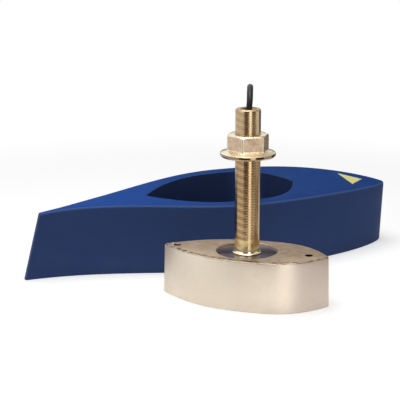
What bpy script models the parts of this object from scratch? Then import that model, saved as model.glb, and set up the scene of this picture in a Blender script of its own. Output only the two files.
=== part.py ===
"""A thru-hull sonar transducer and its fairing block, as they stand before fitting.

The cast bronze housing stands on its acoustic face with its threaded stem upright. The hull nut is on
the stem, and the cable leaves the top of the stem, passes over the fairing and ends in a coil on the floor
behind it. The fairing stands behind the housing, pocket upward. Metres, +Z up, with the origin on the
stem's axis at floor level.
"""

import math

import bmesh
import bpy
from mathutils import Matrix, Vector

# Clearance between pieces that touch, and how far a cutter runs on past the wall that it cuts
FIT = 0.0003
OVERRUN = 0.0100

# Almond outline of the housing, at its acoustic face
HOUSING_LENGTH = 0.2205
HOUSING_WIDTH = 0.105
HOUSING_HEIGHT = 0.0645
HOUSING_YAW = math.radians(-16.8)
STEM_AHEAD = 0.0024
ALMOND_WIDEST_X = 0.0140
BOW_FULLNESS = 3.0
STERN_FULLNESS = 2.3
ALMOND_STEPS = 26

# Casting
HOUSING_WALL = 0.0050
HOUSING_DRAFT = 0.0016
DECK_THICKNESS = 0.0080
DECK_EDGE = 0.0018
TIP_EDGE = 0.0030
RECESS_RADIUS = 0.0393
RECESS_DEPTH = 0.0022
BOSS_RADIUS = 0.0235
BOSS_DEPTH = 0.0105
PIN_HOLE_RADIUS = 0.0045
PIN_HOLE_DEPTH = 0.0055
BOW_PIN_HOLE_TO_TIP = 0.0275
STERN_PIN_HOLE_TO_TIP = 0.0200
LOCATING_PIN_RADIUS = 0.0012
LOCATING_PIN_HEIGHT = 0.0050
LOCATING_PIN_DEPTH = 0.0040
LOCATING_PIN_TO_TIP = 0.0169
LOCATING_PIN_ASIDE = 0.0093

# Stem and its nut
STEM_RADIUS = 0.0159
STEM_BORE_RADIUS = 0.0080
STEM_TOP = 0.2470
STEM_CHAMFER = 0.0012
STEM_FOOT_RADIUS = 0.0182
STEM_FOOT_HEIGHT = 0.0045
NUT_SEAT_Z = 0.1870
NUT_HEX_WIDTH = 0.0472
NUT_HEIGHT = 0.0285
NUT_CHAMFER = 0.0028
NUT_TURN = math.radians(-16.7)
FLANGE_RADIUS = 0.0349
FLANGE_RIM = 0.0053
FLANGE_CROWN = 0.0095
FLANGE_CHAMFER = 0.0018

# What the housing holds
WINDOW_THICKNESS = 0.0090
BLOCK_MARGIN = 0.0040
BOARD_TO_BOSS = 0.0108
CERAMIC_GAP = 0.0006
LOW_CERAMIC_RADIUS = 0.0125
LOW_CERAMIC_COVER = 0.0057
LOW_CERAMIC_PITCH = 0.0265
LOW_CERAMIC_COUNT = 7
LOW_ARRAY_X = -0.0200
HIGH_CERAMIC_RADIUS = 0.0225
HIGH_CERAMIC_COVER = 0.0087
HIGH_CERAMIC_X = 0.0460
SENSOR_TO_CERAMIC = 0.0129
SENSOR_RADIUS = 0.0026
SENSOR_COVER = 0.0033
BOARD_LENGTH = 0.0360
BOARD_WIDTH = 0.0240
BOARD_THICKNESS = 0.0016
TRANSFORMER_X = 0.0400
BOBBIN_RADIUS = 0.0105
BOBBIN_HEIGHT = 0.0140
BOBBIN_FLANGE = 0.0010
WINDING_RADIUS = 0.0090
BOBBIN_HUB_RADIUS = 0.0045
CORE_RADIUS = 0.0030
CORE_CAP_HEIGHT = 0.0022
LEAD_RADIUS = 0.0008
HIGH_LEAD_X = 0.0550

# Cable, coil and plug
CABLE_RADIUS = 0.0039
CABLE_START_DEPTH = 0.0290
CABLE_CORE_RADIUS = 0.0026
SEAL_LENGTH = 0.0180
COIL_CENTRE = (-0.0724, 0.4150)
COIL_PITCH = 0.0080
COIL_COLUMNS = 6
COIL_LEVELS = 4
COIL_MEAN_RADIUS = 0.0670
TIE_THICKNESS = 0.0010
TIE_WIDTH = 0.0100
TIE_SLACK = 0.0006
TIE_ANGLES = (62, 242)
PLUG_PLACE = (-0.1602, 0.3176)
PLUG_RING_RADIUS = 0.0115
PLUG_RING_LENGTH = 0.0170
PLUG_RIBS = 18
PLUG_RIB_DEPTH = 0.0007
PLUG_BODY_RADIUS = 0.0088
PLUG_BODY_LENGTH = 0.0180
PLUG_NECK_RADIUS = 0.0078
PLUG_NECK_LENGTH = 0.0130
PLUG_SOCKET_DEPTH = 0.0150
PLUG_BOOT_LENGTH = 0.0300
PLUG_BOOT_RADIUS = 0.0080
PLUG_BOOT_COLLAR = 0.0050
PLUG_BOOT_LIP = 0.0016
PLUG_WALL = 0.0014
PLUG_INSERT_LENGTH = 0.0060
PLUG_PIN_RADIUS = 0.0008
PLUG_PIN_LENGTH = 0.0120
PLUG_PIN_COUNT = 5
PLUG_PIN_CIRCLE = 0.0038

# Fairing, with s along it from the tail and t across it toward its high side
FAIRING_PLACE = (-0.2954, 0.0799)
FAIRING_YAW = math.radians(22.6)
FAIRING_LENGTH = 0.5460
FAIRING_WIDTH = 0.1440
FAIRING_WIDEST_S = 0.3100
FAIRING_HEIGHT = 0.1020
FAIRING_CROSS_SLOPE = 0.1400
TAIL_WIDTH = 0.0080
TAIL_DROP = 0.0120
TAIL_RAKE = 0.0260
TAIL_RAKE_LENGTH = 0.1100
NOSE_WIDTH = 0.0080
NOSE_DROP = 0.0145
NOSE_RAKE = 0.0050
NOSE_RAKE_LENGTH = 0.1000
FLANK_HOLLOW = 1.12
NOSE_FULLNESS = 2.1
NOSE_ROUNDNESS = 0.75
FAIRING_EDGE = 0.0035
FAIRING_EDGE_STEPS = 3
FAIRING_FOOT_CHAMFER = 0.0012
TAIL_STATIONS = 22
NOSE_STATIONS = 20
POCKET_S = 0.2880
POCKET_CLEARANCE = 0.0025
POCKET_FLOOR = 0.0280
STEM_HOLE_CLEARANCE = 0.0020
ARROW_TO_NOSE = 0.0330
ARROW_LENGTH = 0.0270
ARROW_WIDTH = 0.0450
ARROW_THICKNESS = 0.0005
ARROW_STEPS = 5

# Levels in the housing from the acoustic face up, and places along it from its middle
DECK_UNDERSIDE = HOUSING_HEIGHT - DECK_THICKNESS
BOSS_BOTTOM = DECK_UNDERSIDE - BOSS_DEPTH
RECESS_FLOOR = HOUSING_HEIGHT - RECESS_DEPTH
BOARD_TOP = BOSS_BOTTOM - BOARD_TO_BOSS
BOARD_BASE = BOARD_TOP - BOARD_THICKNESS
BLOCK_TOP = BOARD_BASE - FIT
BLOCK_BASE = WINDOW_THICKNESS + FIT
LOW_CERAMIC_TOP = BLOCK_TOP - LOW_CERAMIC_COVER - FIT
HIGH_CERAMIC_TOP = BLOCK_TOP - HIGH_CERAMIC_COVER - FIT
SENSOR_TOP = BLOCK_TOP - SENSOR_COVER
SENSOR_X = HIGH_CERAMIC_X + HIGH_CERAMIC_RADIUS + SENSOR_TO_CERAMIC + SENSOR_RADIUS
BOW_PIN_HOLE_X = HOUSING_LENGTH / 2 - BOW_PIN_HOLE_TO_TIP
STERN_PIN_HOLE_X = STERN_PIN_HOLE_TO_TIP - HOUSING_LENGTH / 2
LOCATING_PIN_X = LOCATING_PIN_TO_TIP - HOUSING_LENGTH / 2
LOCATING_HOLE_FLOOR = HOUSING_HEIGHT - LOCATING_PIN_DEPTH
HOUSING_PLACE = (-STEM_AHEAD * math.cos(HOUSING_YAW), -STEM_AHEAD * math.sin(HOUSING_YAW), 0.0)
CABLE_START = STEM_TOP - CABLE_START_DEPTH

# Routes, points chosen by hand
CABLE_ROUTE = (
    (0.0000, 0.0000, CABLE_START),
    (0.0000, 0.0000, STEM_TOP - 0.0180),
    (0.0004, 0.0000, STEM_TOP - 0.0065),
    (0.0019, 0.0042, STEM_TOP + 0.0084),
    (0.0027, 0.0158, STEM_TOP + 0.0183),
    (0.0034, 0.0315, STEM_TOP + 0.0220),
    (0.0038, 0.0473, STEM_TOP + 0.0183),
    (0.0040, 0.0573, STEM_TOP + 0.0099),
    (0.0043, 0.0700, STEM_TOP - 0.0072),
    (0.0046, 0.0860, STEM_TOP - 0.0285),
    (0.0050, 0.1060, STEM_TOP - 0.0535),
    (0.0056, 0.1310, STEM_TOP - 0.0775),
    (0.0066, 0.1620, 0.1480),
    (0.0078, 0.1970, 0.1315),
    (0.0092, 0.2330, 0.1209),
    (0.0104, 0.2620, 0.1171),
    (0.0110, 0.2790, 0.1158),
    (0.0118, 0.2990, 0.1105),
    (0.0124, 0.3136, 0.0965),
    (0.0128, 0.3215, 0.0725),
    (0.0131, 0.3285, 0.0465),
    (0.0135, 0.3395, 0.0215),
    (0.0141, 0.3560, 0.0075),
    (0.0146, 0.3774, 0.0046),
)
TAIL_ROUTE = (
    (-0.1594, 0.3774, 0.0262),
    (-0.1596, 0.3600, 0.0208),
    (-0.1600, 0.3440, 0.0148),
    (-0.1602, 0.3300, 0.0117),
    (-0.1602, 0.3180, 0.0115),
)
LEAD_ROUTES = {
    "lead_low": (
        (LOW_ARRAY_X, 0.0, BLOCK_TOP - LOW_CERAMIC_COVER),
        (LOW_ARRAY_X, 0.0, BLOCK_TOP - 0.0023),
        (LOW_ARRAY_X, 0.0, BLOCK_TOP + 0.0027),
        (-0.0198, 0.0, BLOCK_TOP + 0.0058),
        (-0.0185, 0.0, BLOCK_TOP + 0.0073),
        (-0.0168, 0.0, BLOCK_TOP + 0.0062),
        (-0.0158, 0.0, BLOCK_TOP + 0.0043),
        (-0.0156, 0.0, BOARD_TOP + FIT),
    ),
    "lead_high": (
        (HIGH_LEAD_X, 0.0, BLOCK_TOP - HIGH_CERAMIC_COVER),
        (HIGH_LEAD_X, 0.0, BLOCK_TOP - 0.0043),
        (HIGH_LEAD_X, 0.0, BLOCK_TOP + 0.0027),
        (0.0545, 0.0, BLOCK_TOP + 0.0062),
        (0.0525, 0.0, BLOCK_TOP + 0.0081),
        (TRANSFORMER_X + WINDING_RADIUS + FIT, 0.0, BLOCK_TOP + 0.0085),
    ),
    "lead_transformer": (
        (TRANSFORMER_X - WINDING_RADIUS - FIT, 0.0, BLOCK_TOP + 0.0085),
        (0.0265, 0.0, BLOCK_TOP + 0.0085),
        (0.0215, 0.0, BLOCK_TOP + 0.0078),
        (0.0174, 0.0, BLOCK_TOP + 0.0061),
        (0.0158, 0.0, BLOCK_TOP + 0.0043),
        (0.0156, 0.0, BOARD_TOP + FIT),
    ),
    "lead_temperature": (
        (SENSOR_X, 0.0, SENSOR_TOP + FIT),
        (SENSOR_X, 0.0, BLOCK_TOP + 0.0002),
        (SENSOR_X - 0.0015, 0.0010, BLOCK_TOP + 0.0029),
        (SENSOR_X - 0.0060, 0.0045, BLOCK_TOP + 0.0029),
        (0.0640, 0.0105, BLOCK_TOP + 0.0013),
        (0.0500, 0.0150, BLOCK_TOP + 0.0012),
        (0.0340, 0.0155, BLOCK_TOP + 0.0013),
        (0.0240, 0.0125, BLOCK_TOP + 0.0031),
        (0.0180, 0.0095, BLOCK_TOP + 0.0052),
        (0.0150, 0.0082, BLOCK_TOP + 0.0045),
        (0.0145, 0.0080, BOARD_TOP + FIT),
    ),
}


def clear_scene():
    for obj in list(bpy.data.objects):
        bpy.data.objects.remove(obj)
    for name in ("Sonar transducer", "Cutters"):
        bpy.context.scene.collection.children.link(bpy.data.collections.new(name))


def put_in(obj, collection_name):
    for collection in list(obj.users_collection):
        collection.objects.unlink(obj)
    bpy.data.collections[collection_name].objects.link(obj)


def axis_empty(name, location, yaw=0.0, tip=0.0):
    empty = bpy.data.objects.new(name, None)
    empty.location = location
    empty.rotation_euler = (tip, 0.0, yaw)
    bpy.data.collections["Sonar transducer"].objects.link(empty)
    return empty


def finish(obj, name, parent, colour, roughness, metallic=0.0):
    """Names the piece, gives it its own material, and sets it in its assembly."""
    obj.name = name
    obj.data.name = name
    material = bpy.data.materials.new(name)
    material.use_nodes = True
    shader = material.node_tree.nodes["Principled BSDF"]
    shader.inputs["Base Color"].default_value = (*colour, 1.0)
    shader.inputs["Roughness"].default_value = roughness
    shader.inputs["Metallic"].default_value = metallic
    obj.data.materials.clear()
    obj.data.materials.append(material)
    obj.parent = parent
    put_in(obj, "Sonar transducer")
    return obj


def boolean(target, tool, operation="DIFFERENCE"):
    """Cuts or joins with a helper, which then stays out of the model."""
    modifier = target.modifiers.new(f"{operation.title()} {tool.name}", "BOOLEAN")
    modifier.operation = operation
    modifier.object = tool
    tool.parent = target.parent
    tool.hide_render = True
    tool.display_type = "WIRE"
    put_in(tool, "Cutters")
    return tool


def mesh_object(name, bm, smooth_angle=35):
    mesh = bpy.data.meshes.new(name)
    bm.normal_update()
    bm.to_mesh(mesh)
    bm.free()
    mesh.shade_smooth()
    mesh.set_sharp_from_angle(angle=math.radians(smooth_angle))
    obj = bpy.data.objects.new(name, mesh)
    bpy.context.scene.collection.objects.link(obj)
    return obj


def turned(name, profile, steps=48, closed=False):
    """A profile of (radius, height) pairs swept round Z. It runs down its outer side."""
    bm = bmesh.new()
    verts = [bm.verts.new((radius, 0.0, height)) for radius, height in profile]
    for first, second in zip(verts, verts[1:]):
        bm.edges.new((first, second))
    if closed:
        bm.edges.new((verts[-1], verts[0]))
    obj = mesh_object(name, bm)
    screw = obj.modifiers.new("Screw", "SCREW")
    screw.steps = steps
    screw.render_steps = steps
    screw.merge_threshold = 0.00001
    screw.use_merge_vertices = True
    return obj


def rod(name, radius, low, high, x=0.0, y=0.0, vertices=32):
    bpy.ops.mesh.primitive_cylinder_add(
        vertices=vertices, radius=radius, depth=high - low, location=(x, y, (low + high) / 2)
    )
    obj = bpy.context.object
    obj.name = name
    obj.data.shade_smooth()
    obj.data.set_sharp_from_angle(angle=math.radians(35))
    return obj


def tube(name, outer, inner, low, high, steps=40):
    return turned(name, ((outer, high), (outer, low), (inner, low), (inner, high)), steps, closed=True)


def loft(name, low, high, low_z, high_z):
    """A solid between two outlines of as many points, one above the other."""
    bm = bmesh.new()
    bottom = [bm.verts.new((x, y, low_z)) for x, y in low]
    top = [bm.verts.new((x, y, high_z)) for x, y in high]
    bm.faces.new(bottom[::-1])
    bm.faces.new(top)
    for i in range(len(bottom)):
        j = (i + 1) % len(bottom)
        bm.faces.new((bottom[i], bottom[j], top[j], top[i]))
    return mesh_object(name, bm)


def prism(name, outline, low, high):
    return loft(name, outline, outline, low, high)


def almond(inset=0.0, length=HOUSING_LENGTH, width=HOUSING_WIDTH):
    """The housing's pointed oval, seen from above and moved inward by inset, as (x, y) pairs."""
    side = width / 2
    bow = (length / 2 - ALMOND_WIDEST_X, BOW_FULLNESS)
    stern = (length / 2 + ALMOND_WIDEST_X, STERN_FULLNESS)
    tips = []
    for reach, fullness in (bow, stern):
        tips.append(reach - inset / math.sin(math.atan(side * fullness / reach)))
    bow_tip, stern_tip = ALMOND_WIDEST_X + tips[0], ALMOND_WIDEST_X - tips[1]
    flank = []
    for i in range(1, ALMOND_STEPS):
        share = 1 - 2 * i / ALMOND_STEPS
        reach, fullness = bow if share > 0 else stern
        slope = -side / reach * fullness * math.copysign(abs(share) ** (fullness - 1), share)
        normal = Vector((-slope, 1.0)).normalized()
        place = Vector((ALMOND_WIDEST_X + reach * share, side * (1 - abs(share) ** fullness)))
        point = place - normal * inset
        if stern_tip < point.x < bow_tip and point.y > 0:
            flank.append((point.x, point.y))
    return [(bow_tip, 0.0), *flank, (stern_tip, 0.0), *[(x, -y) for x, y in reversed(flank)]]


def smooth_route(points, spacing):
    """Points at an even spacing along a smooth curve through the route's own points."""
    points = [Vector(point) for point in points]
    ends = [2 * points[0] - points[1], *points, 2 * points[-1] - points[-2]]
    fine = []
    for before, start, end, after in zip(ends, ends[1:], ends[2:], ends[3:]):
        for step in range(24):
            u = step / 24
            fine.append(
                0.5
                * (
                    2 * start
                    + (end - before) * u
                    + (2 * before - 5 * start + 4 * end - after) * u**2
                    + (3 * start - before - 3 * end + after) * u**3
                )
            )
    fine.append(points[-1])
    lengths = [0.0]
    for first, second in zip(fine, fine[1:]):
        lengths.append(lengths[-1] + (second - first).length)
    count = max(4, round(lengths[-1] / spacing))
    even = []
    index = 0
    for step in range(count + 1):
        wanted = lengths[-1] * step / count
        while index < len(lengths) - 2 and lengths[index + 1] < wanted:
            index += 1
        part = (wanted - lengths[index]) / (lengths[index + 1] - lengths[index])
        even.append(fine[index].lerp(fine[index + 1], part))
    return even


def wire(name, route, radius, spacing, resolution=2):
    """A round lead or cable along a route, its ends closed."""
    points = smooth_route(route, spacing)
    curve = bpy.data.curves.new(name, "CURVE")
    curve.dimensions = "3D"
    curve.bevel_depth = radius
    curve.bevel_resolution = resolution
    curve.use_fill_caps = True
    spline = curve.splines.new("POLY")
    spline.points.add(len(points) - 1)
    for spline_point, point in zip(spline.points, points):
        spline_point.co = (*point, 1.0)
    obj = bpy.data.objects.new(name, curve)
    bpy.context.scene.collection.objects.link(obj)
    return obj


# Housing


def bevel_by_weight(obj, width, segments, weight_of):
    """Rounds each edge by its own share of the width."""
    bm = bmesh.new()
    bm.from_mesh(obj.data)
    layer = bm.edges.layers.float.new("bevel_weight_edge")
    for edge in bm.edges:
        edge[layer] = weight_of(edge)
    bm.to_mesh(obj.data)
    bm.free()
    bevel = obj.modifiers.new("Rounded edges", "BEVEL")
    bevel.limit_method = "WEIGHT"
    bevel.width = width
    bevel.segments = segments


def housing_edge_weight(edge):
    """Full round on the upright edges at the two tips, and the deck's own round on its rim."""
    heights = [vert.co.z for vert in edge.verts]
    if min(heights) > HOUSING_HEIGHT / 2:
        return DECK_EDGE / TIP_EDGE
    upright = max(heights) > HOUSING_HEIGHT / 2
    at_tip = all(abs(vert.co.y) < FIT for vert in edge.verts)
    return 1.0 if upright and at_tip else 0.0


def build_housing(axis):
    deck_outline = almond(
        length=HOUSING_LENGTH - 2 * HOUSING_DRAFT, width=HOUSING_WIDTH - 2 * HOUSING_DRAFT
    )
    housing = loft("housing", almond(), deck_outline, 0.0, HOUSING_HEIGHT)
    housing.parent = axis
    bevel_by_weight(housing, TIP_EDGE, 3, housing_edge_weight)
    boolean(housing, prism("cavity", almond(HOUSING_WALL), -OVERRUN, DECK_UNDERSIDE))
    above = HOUSING_HEIGHT + OVERRUN
    boss_root = DECK_UNDERSIDE + DECK_THICKNESS / 4
    boolean(housing, rod("boss", BOSS_RADIUS, BOSS_BOTTOM, boss_root, STEM_AHEAD), "UNION")
    boolean(housing, rod("recess", RECESS_RADIUS, RECESS_FLOOR, above, STEM_AHEAD, vertices=72))
    below = BOSS_BOTTOM - OVERRUN
    boolean(housing, rod("stem_hole", STEM_RADIUS + FIT, below, above, STEM_AHEAD, vertices=48))
    for x in (BOW_PIN_HOLE_X, STERN_PIN_HOLE_X):
        floor = HOUSING_HEIGHT - PIN_HOLE_DEPTH
        boolean(housing, rod("pin_hole", PIN_HOLE_RADIUS, floor, above, x, vertices=24))
    pin_place = (LOCATING_PIN_X, -LOCATING_PIN_ASIDE)
    hole_radius = LOCATING_PIN_RADIUS + FIT
    boolean(housing, rod("locating_hole", hole_radius, LOCATING_HOLE_FLOOR, above, *pin_place, 12))
    pin_top = HOUSING_HEIGHT + LOCATING_PIN_HEIGHT
    pin = rod("pin", LOCATING_PIN_RADIUS, LOCATING_HOLE_FLOOR + FIT, pin_top, *pin_place, 12)
    finish(pin, "locating_pin", axis, (0.7, 0.66, 0.55), 0.3, 0.9)
    finish(housing, "insert_housing", axis, (0.62, 0.52, 0.41), 0.38, 0.85)


def build_stem():
    seat = RECESS_FLOOR + FIT
    profile = (
        (STEM_BORE_RADIUS + STEM_CHAMFER, STEM_TOP),
        (STEM_RADIUS - STEM_CHAMFER, STEM_TOP),
        (STEM_RADIUS, STEM_TOP - STEM_CHAMFER),
        (STEM_RADIUS, seat + STEM_FOOT_HEIGHT),
        (STEM_FOOT_RADIUS, seat + 0.0008),
        (STEM_FOOT_RADIUS, seat),
        (STEM_RADIUS, seat),
        (STEM_RADIUS, BOSS_BOTTOM),
        (STEM_BORE_RADIUS, BOSS_BOTTOM),
        (STEM_BORE_RADIUS, STEM_TOP - STEM_CHAMFER),
    )
    stem = turned("stem", profile, 48, closed=True)
    finish(stem, "stem", None, (0.46, 0.33, 0.17), 0.3, 0.9)


def build_hull_nut():
    """A hexagon with its top corners turned off, on a dished flange, bored for the stem."""
    axis = axis_empty("hull nut axis", (0.0, 0.0, NUT_SEAT_Z), NUT_TURN)
    corner = NUT_HEX_WIDTH / math.sqrt(3)
    nut = rod("nut", corner, FLANGE_RIM, NUT_HEIGHT, vertices=6)
    nut.parent = axis
    chamfer_radius = NUT_HEX_WIDTH / 2 - 0.0004
    spread = NUT_CHAMFER / math.tan(math.radians(30))
    envelope = turned(
        "nut_corners",
        (
            (0.0, NUT_HEIGHT + 0.0005),
            (chamfer_radius, NUT_HEIGHT + 0.0005),
            (chamfer_radius, NUT_HEIGHT),
            (chamfer_radius + spread, NUT_HEIGHT - NUT_CHAMFER),
            (chamfer_radius + spread, -0.002),
            (0.0, -0.002),
        ),
        60,
    )
    boolean(nut, envelope, "INTERSECT")
    flange = turned(
        "nut_flange",
        (
            (0.0, FLANGE_CROWN),
            (NUT_HEX_WIDTH / 2 - 0.001, FLANGE_CROWN),
            (NUT_HEX_WIDTH / 2 + 0.002, FLANGE_CROWN - 0.0012),
            (FLANGE_RADIUS - 0.0006, FLANGE_RIM),
            (FLANGE_RADIUS, FLANGE_RIM - 0.0006),
            (FLANGE_RADIUS, FLANGE_CHAMFER),
            (FLANGE_RADIUS - FLANGE_CHAMFER, 0.0),
            (0.0, 0.0),
        ),
        60,
    )
    boolean(nut, flange, "UNION")
    boolean(nut, rod("nut_bore", STEM_RADIUS + FIT, -OVERRUN, NUT_HEIGHT + OVERRUN, vertices=48))
    finish(nut, "hull_nut", axis, (0.72, 0.6, 0.43), 0.3, 0.9)


# Inside the housing


def build_window(axis):
    window = prism("window", almond(HOUSING_WALL + FIT), 0.0, WINDOW_THICKNESS)
    window.parent = axis
    above = WINDOW_THICKNESS + OVERRUN
    boolean(window, rod("sensor_hole", SENSOR_RADIUS + FIT, -OVERRUN, above, SENSOR_X, vertices=20))
    finish(window, "acoustic_window", axis, (0.03, 0.03, 0.035), 0.5)


def low_ceramic_places():
    """One disc in the middle and the rest evenly round it."""
    places = [(LOW_ARRAY_X, 0.0)]
    around = LOW_CERAMIC_COUNT - 1
    for i in range(around):
        turn = 2 * math.pi * i / around
        places.append(
            (LOW_ARRAY_X + LOW_CERAMIC_PITCH * math.cos(turn), LOW_CERAMIC_PITCH * math.sin(turn))
        )
    return places


def build_ceramics(axis):
    for number, (x, y) in enumerate(low_ceramic_places(), 1):
        disc = rod("disc", LOW_CERAMIC_RADIUS, BLOCK_BASE, LOW_CERAMIC_TOP, x, y)
        finish(disc, f"ceramic_low_{number}", axis, (0.72, 0.7, 0.62), 0.5)
    disc = rod("disc", HIGH_CERAMIC_RADIUS, BLOCK_BASE, HIGH_CERAMIC_TOP, HIGH_CERAMIC_X, vertices=40)
    finish(disc, "ceramic_high", axis, (0.72, 0.7, 0.62), 0.5)


def build_backing_block(axis):
    """The stiff foam that carries the discs, with a pocket for each and holes for their leads."""
    block = prism("block", almond(HOUSING_WALL + BLOCK_MARGIN), BLOCK_BASE, BLOCK_TOP)
    block.parent = axis
    below, above = BLOCK_BASE - OVERRUN, BLOCK_TOP + OVERRUN
    for x, y in low_ceramic_places():
        pocket_roof = LOW_CERAMIC_TOP + FIT
        boolean(block, rod("low_pocket", LOW_CERAMIC_RADIUS + CERAMIC_GAP, below, pocket_roof, x, y))
    pocket_roof = HIGH_CERAMIC_TOP + FIT
    pocket_radius = HIGH_CERAMIC_RADIUS + CERAMIC_GAP
    boolean(block, rod("high_pocket", pocket_radius, below, pocket_roof, HIGH_CERAMIC_X))
    boolean(block, rod("sensor_way", SENSOR_RADIUS + FIT, below, above, SENSOR_X, vertices=16))
    for x, disc_top in ((LOW_ARRAY_X, LOW_CERAMIC_TOP), (HIGH_LEAD_X, HIGH_CERAMIC_TOP)):
        boolean(block, rod("lead_way", LEAD_RADIUS + FIT, disc_top, above, x, vertices=12))
    finish(block, "backing_block", axis, (0.35, 0.22, 0.12), 0.85)


def build_electronics(axis):
    bpy.ops.mesh.primitive_cube_add(size=1, location=(0.0, 0.0, (BOARD_BASE + BOARD_TOP) / 2))
    board = bpy.context.object
    board.data.transform(Matrix.Diagonal((BOARD_LENGTH, BOARD_WIDTH, BOARD_THICKNESS, 1.0)))
    finish(board, "junction_board", axis, (0.02, 0.16, 0.07), 0.4)

    base = BOARD_BASE
    top = base + BOBBIN_HEIGHT
    bobbin = turned(
        "bobbin",
        (
            (BOBBIN_RADIUS, top),
            (BOBBIN_RADIUS, top - BOBBIN_FLANGE),
            (BOBBIN_HUB_RADIUS, top - BOBBIN_FLANGE),
            (BOBBIN_HUB_RADIUS, base + BOBBIN_FLANGE),
            (BOBBIN_RADIUS, base + BOBBIN_FLANGE),
            (BOBBIN_RADIUS, base),
            (CORE_RADIUS + FIT, base),
            (CORE_RADIUS + FIT, top),
        ),
        28,
        closed=True,
    )
    winding = tube(
        "winding",
        WINDING_RADIUS,
        BOBBIN_HUB_RADIUS + FIT,
        base + BOBBIN_FLANGE + FIT,
        top - BOBBIN_FLANGE - FIT,
        28,
    )
    cap = top + FIT
    core = turned(
        "core",
        (
            (0.0, cap + CORE_CAP_HEIGHT),
            (BOBBIN_RADIUS, cap + CORE_CAP_HEIGHT),
            (BOBBIN_RADIUS, cap),
            (CORE_RADIUS, cap),
            (CORE_RADIUS, base),
            (0.0, base),
        ),
        28,
    )
    for piece in (bobbin, winding, core):
        piece.location.x = TRANSFORMER_X
    finish(bobbin, "transformer_bobbin", axis, (0.8, 0.78, 0.7), 0.5)
    finish(winding, "transformer_winding", axis, (0.55, 0.22, 0.08), 0.35, 0.8)
    finish(core, "transformer_core", axis, (0.06, 0.06, 0.065), 0.6)

    sensor = rod("sensor", SENSOR_RADIUS, 0.0, SENSOR_TOP, SENSOR_X, vertices=16)
    finish(sensor, "temperature_sensor", axis, (0.7, 0.65, 0.5), 0.3, 0.9)
    colours = ((0.6, 0.05, 0.04), (0.05, 0.1, 0.5), (0.75, 0.7, 0.1), (0.7, 0.7, 0.7))
    for (name, route), colour in zip(LEAD_ROUTES.items(), colours):
        finish(wire(name, route, LEAD_RADIUS, 0.0025), name, axis, colour, 0.5)


# Cable


def build_cable():
    seal_top = CABLE_START + SEAL_LENGTH
    seal = tube("seal", STEM_BORE_RADIUS - FIT, CABLE_RADIUS + FIT, CABLE_START, seal_top)
    finish(seal, "cable_seal", None, (0.02, 0.02, 0.02), 0.6)
    core = rod("core", CABLE_CORE_RADIUS, BOARD_TOP + FIT, CABLE_START - FIT, vertices=16)
    finish(core, "cable_core", None, (0.5, 0.5, 0.52), 0.4, 0.6)
    black = (0.02, 0.02, 0.022)
    cable = wire("cable", CABLE_ROUTE, CABLE_RADIUS, 2.2 * CABLE_RADIUS * 2)
    finish(cable, "cable", None, black, 0.45)
    tail = wire("tail", TAIL_ROUTE, CABLE_RADIUS, 2.2 * CABLE_RADIUS * 2)
    finish(tail, "cable_tail", None, black, 0.45)


def rounded_corners(left, right, low, high, radius, steps=3):
    """A rectangle with round corners, as pairs that run down the right-hand side and up the left."""
    corners = (
        (right - radius, high - radius, 90),
        (right - radius, low + radius, 0),
        (left + radius, low + radius, -90),
        (left + radius, high - radius, -180),
    )
    pairs = []
    for x, y, start in corners:
        for step in range(steps + 1):
            angle = math.radians(start - 90 * step / steps)
            pairs.append((x + radius * math.cos(angle), y + radius * math.sin(angle)))
    return pairs


def coil_section():
    """Inner and outer radius of the coil's turns, and its lowest and highest point."""
    half = (COIL_COLUMNS - 1) * COIL_PITCH / 2 + CABLE_RADIUS
    low = TIE_THICKNESS + FIT
    high = low + (COIL_LEVELS - 1) * COIL_PITCH + 2 * CABLE_RADIUS
    return COIL_MEAN_RADIUS - half, COIL_MEAN_RADIUS + half, low, high


def build_coil():
    centre = axis_empty("coil centre", (*COIL_CENTRE, 0.0))
    inner, outer, low, high = coil_section()
    ring = turned("ring", rounded_corners(inner, outer, low, high, CABLE_RADIUS), 48, closed=True)
    finish(ring, "cable_coil", centre, (0.02, 0.02, 0.022), 0.45)
    slack = TIE_SLACK
    strap = rounded_corners(inner - slack, outer + slack, low - FIT, high + FIT, CABLE_RADIUS + FIT)
    for number, angle in enumerate(TIE_ANGLES, 1):
        bm = bmesh.new()
        near = [bm.verts.new((x, -TIE_WIDTH / 2, z)) for x, z in strap]
        far = [bm.verts.new((x, TIE_WIDTH / 2, z)) for x, z in strap]
        for i in range(len(strap)):
            j = (i + 1) % len(strap)
            bm.faces.new((near[i], near[j], far[j], far[i]))
        tie = mesh_object("tie", bm)
        shell = tie.modifiers.new("Strap", "SOLIDIFY")
        shell.thickness = TIE_THICKNESS
        shell.offset = 1.0
        shell.use_even_offset = True
        tie.rotation_euler.z = math.radians(angle)
        finish(tie, f"coil_tie_{number}", centre, (0.03, 0.03, 0.03), 0.7)


def ribbed_outline():
    """The coupling ring from its end: round, with an even groove between each rib and the next."""
    outline = []
    steps = PLUG_RIBS * 4
    for i in range(steps):
        radius = PLUG_RING_RADIUS - (PLUG_RIB_DEPTH if i % 4 > 1 else 0.0)
        turn = 2 * math.pi * (i + 0.5) / steps
        outline.append((radius * math.cos(turn), radius * math.sin(turn)))
    return outline


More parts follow.
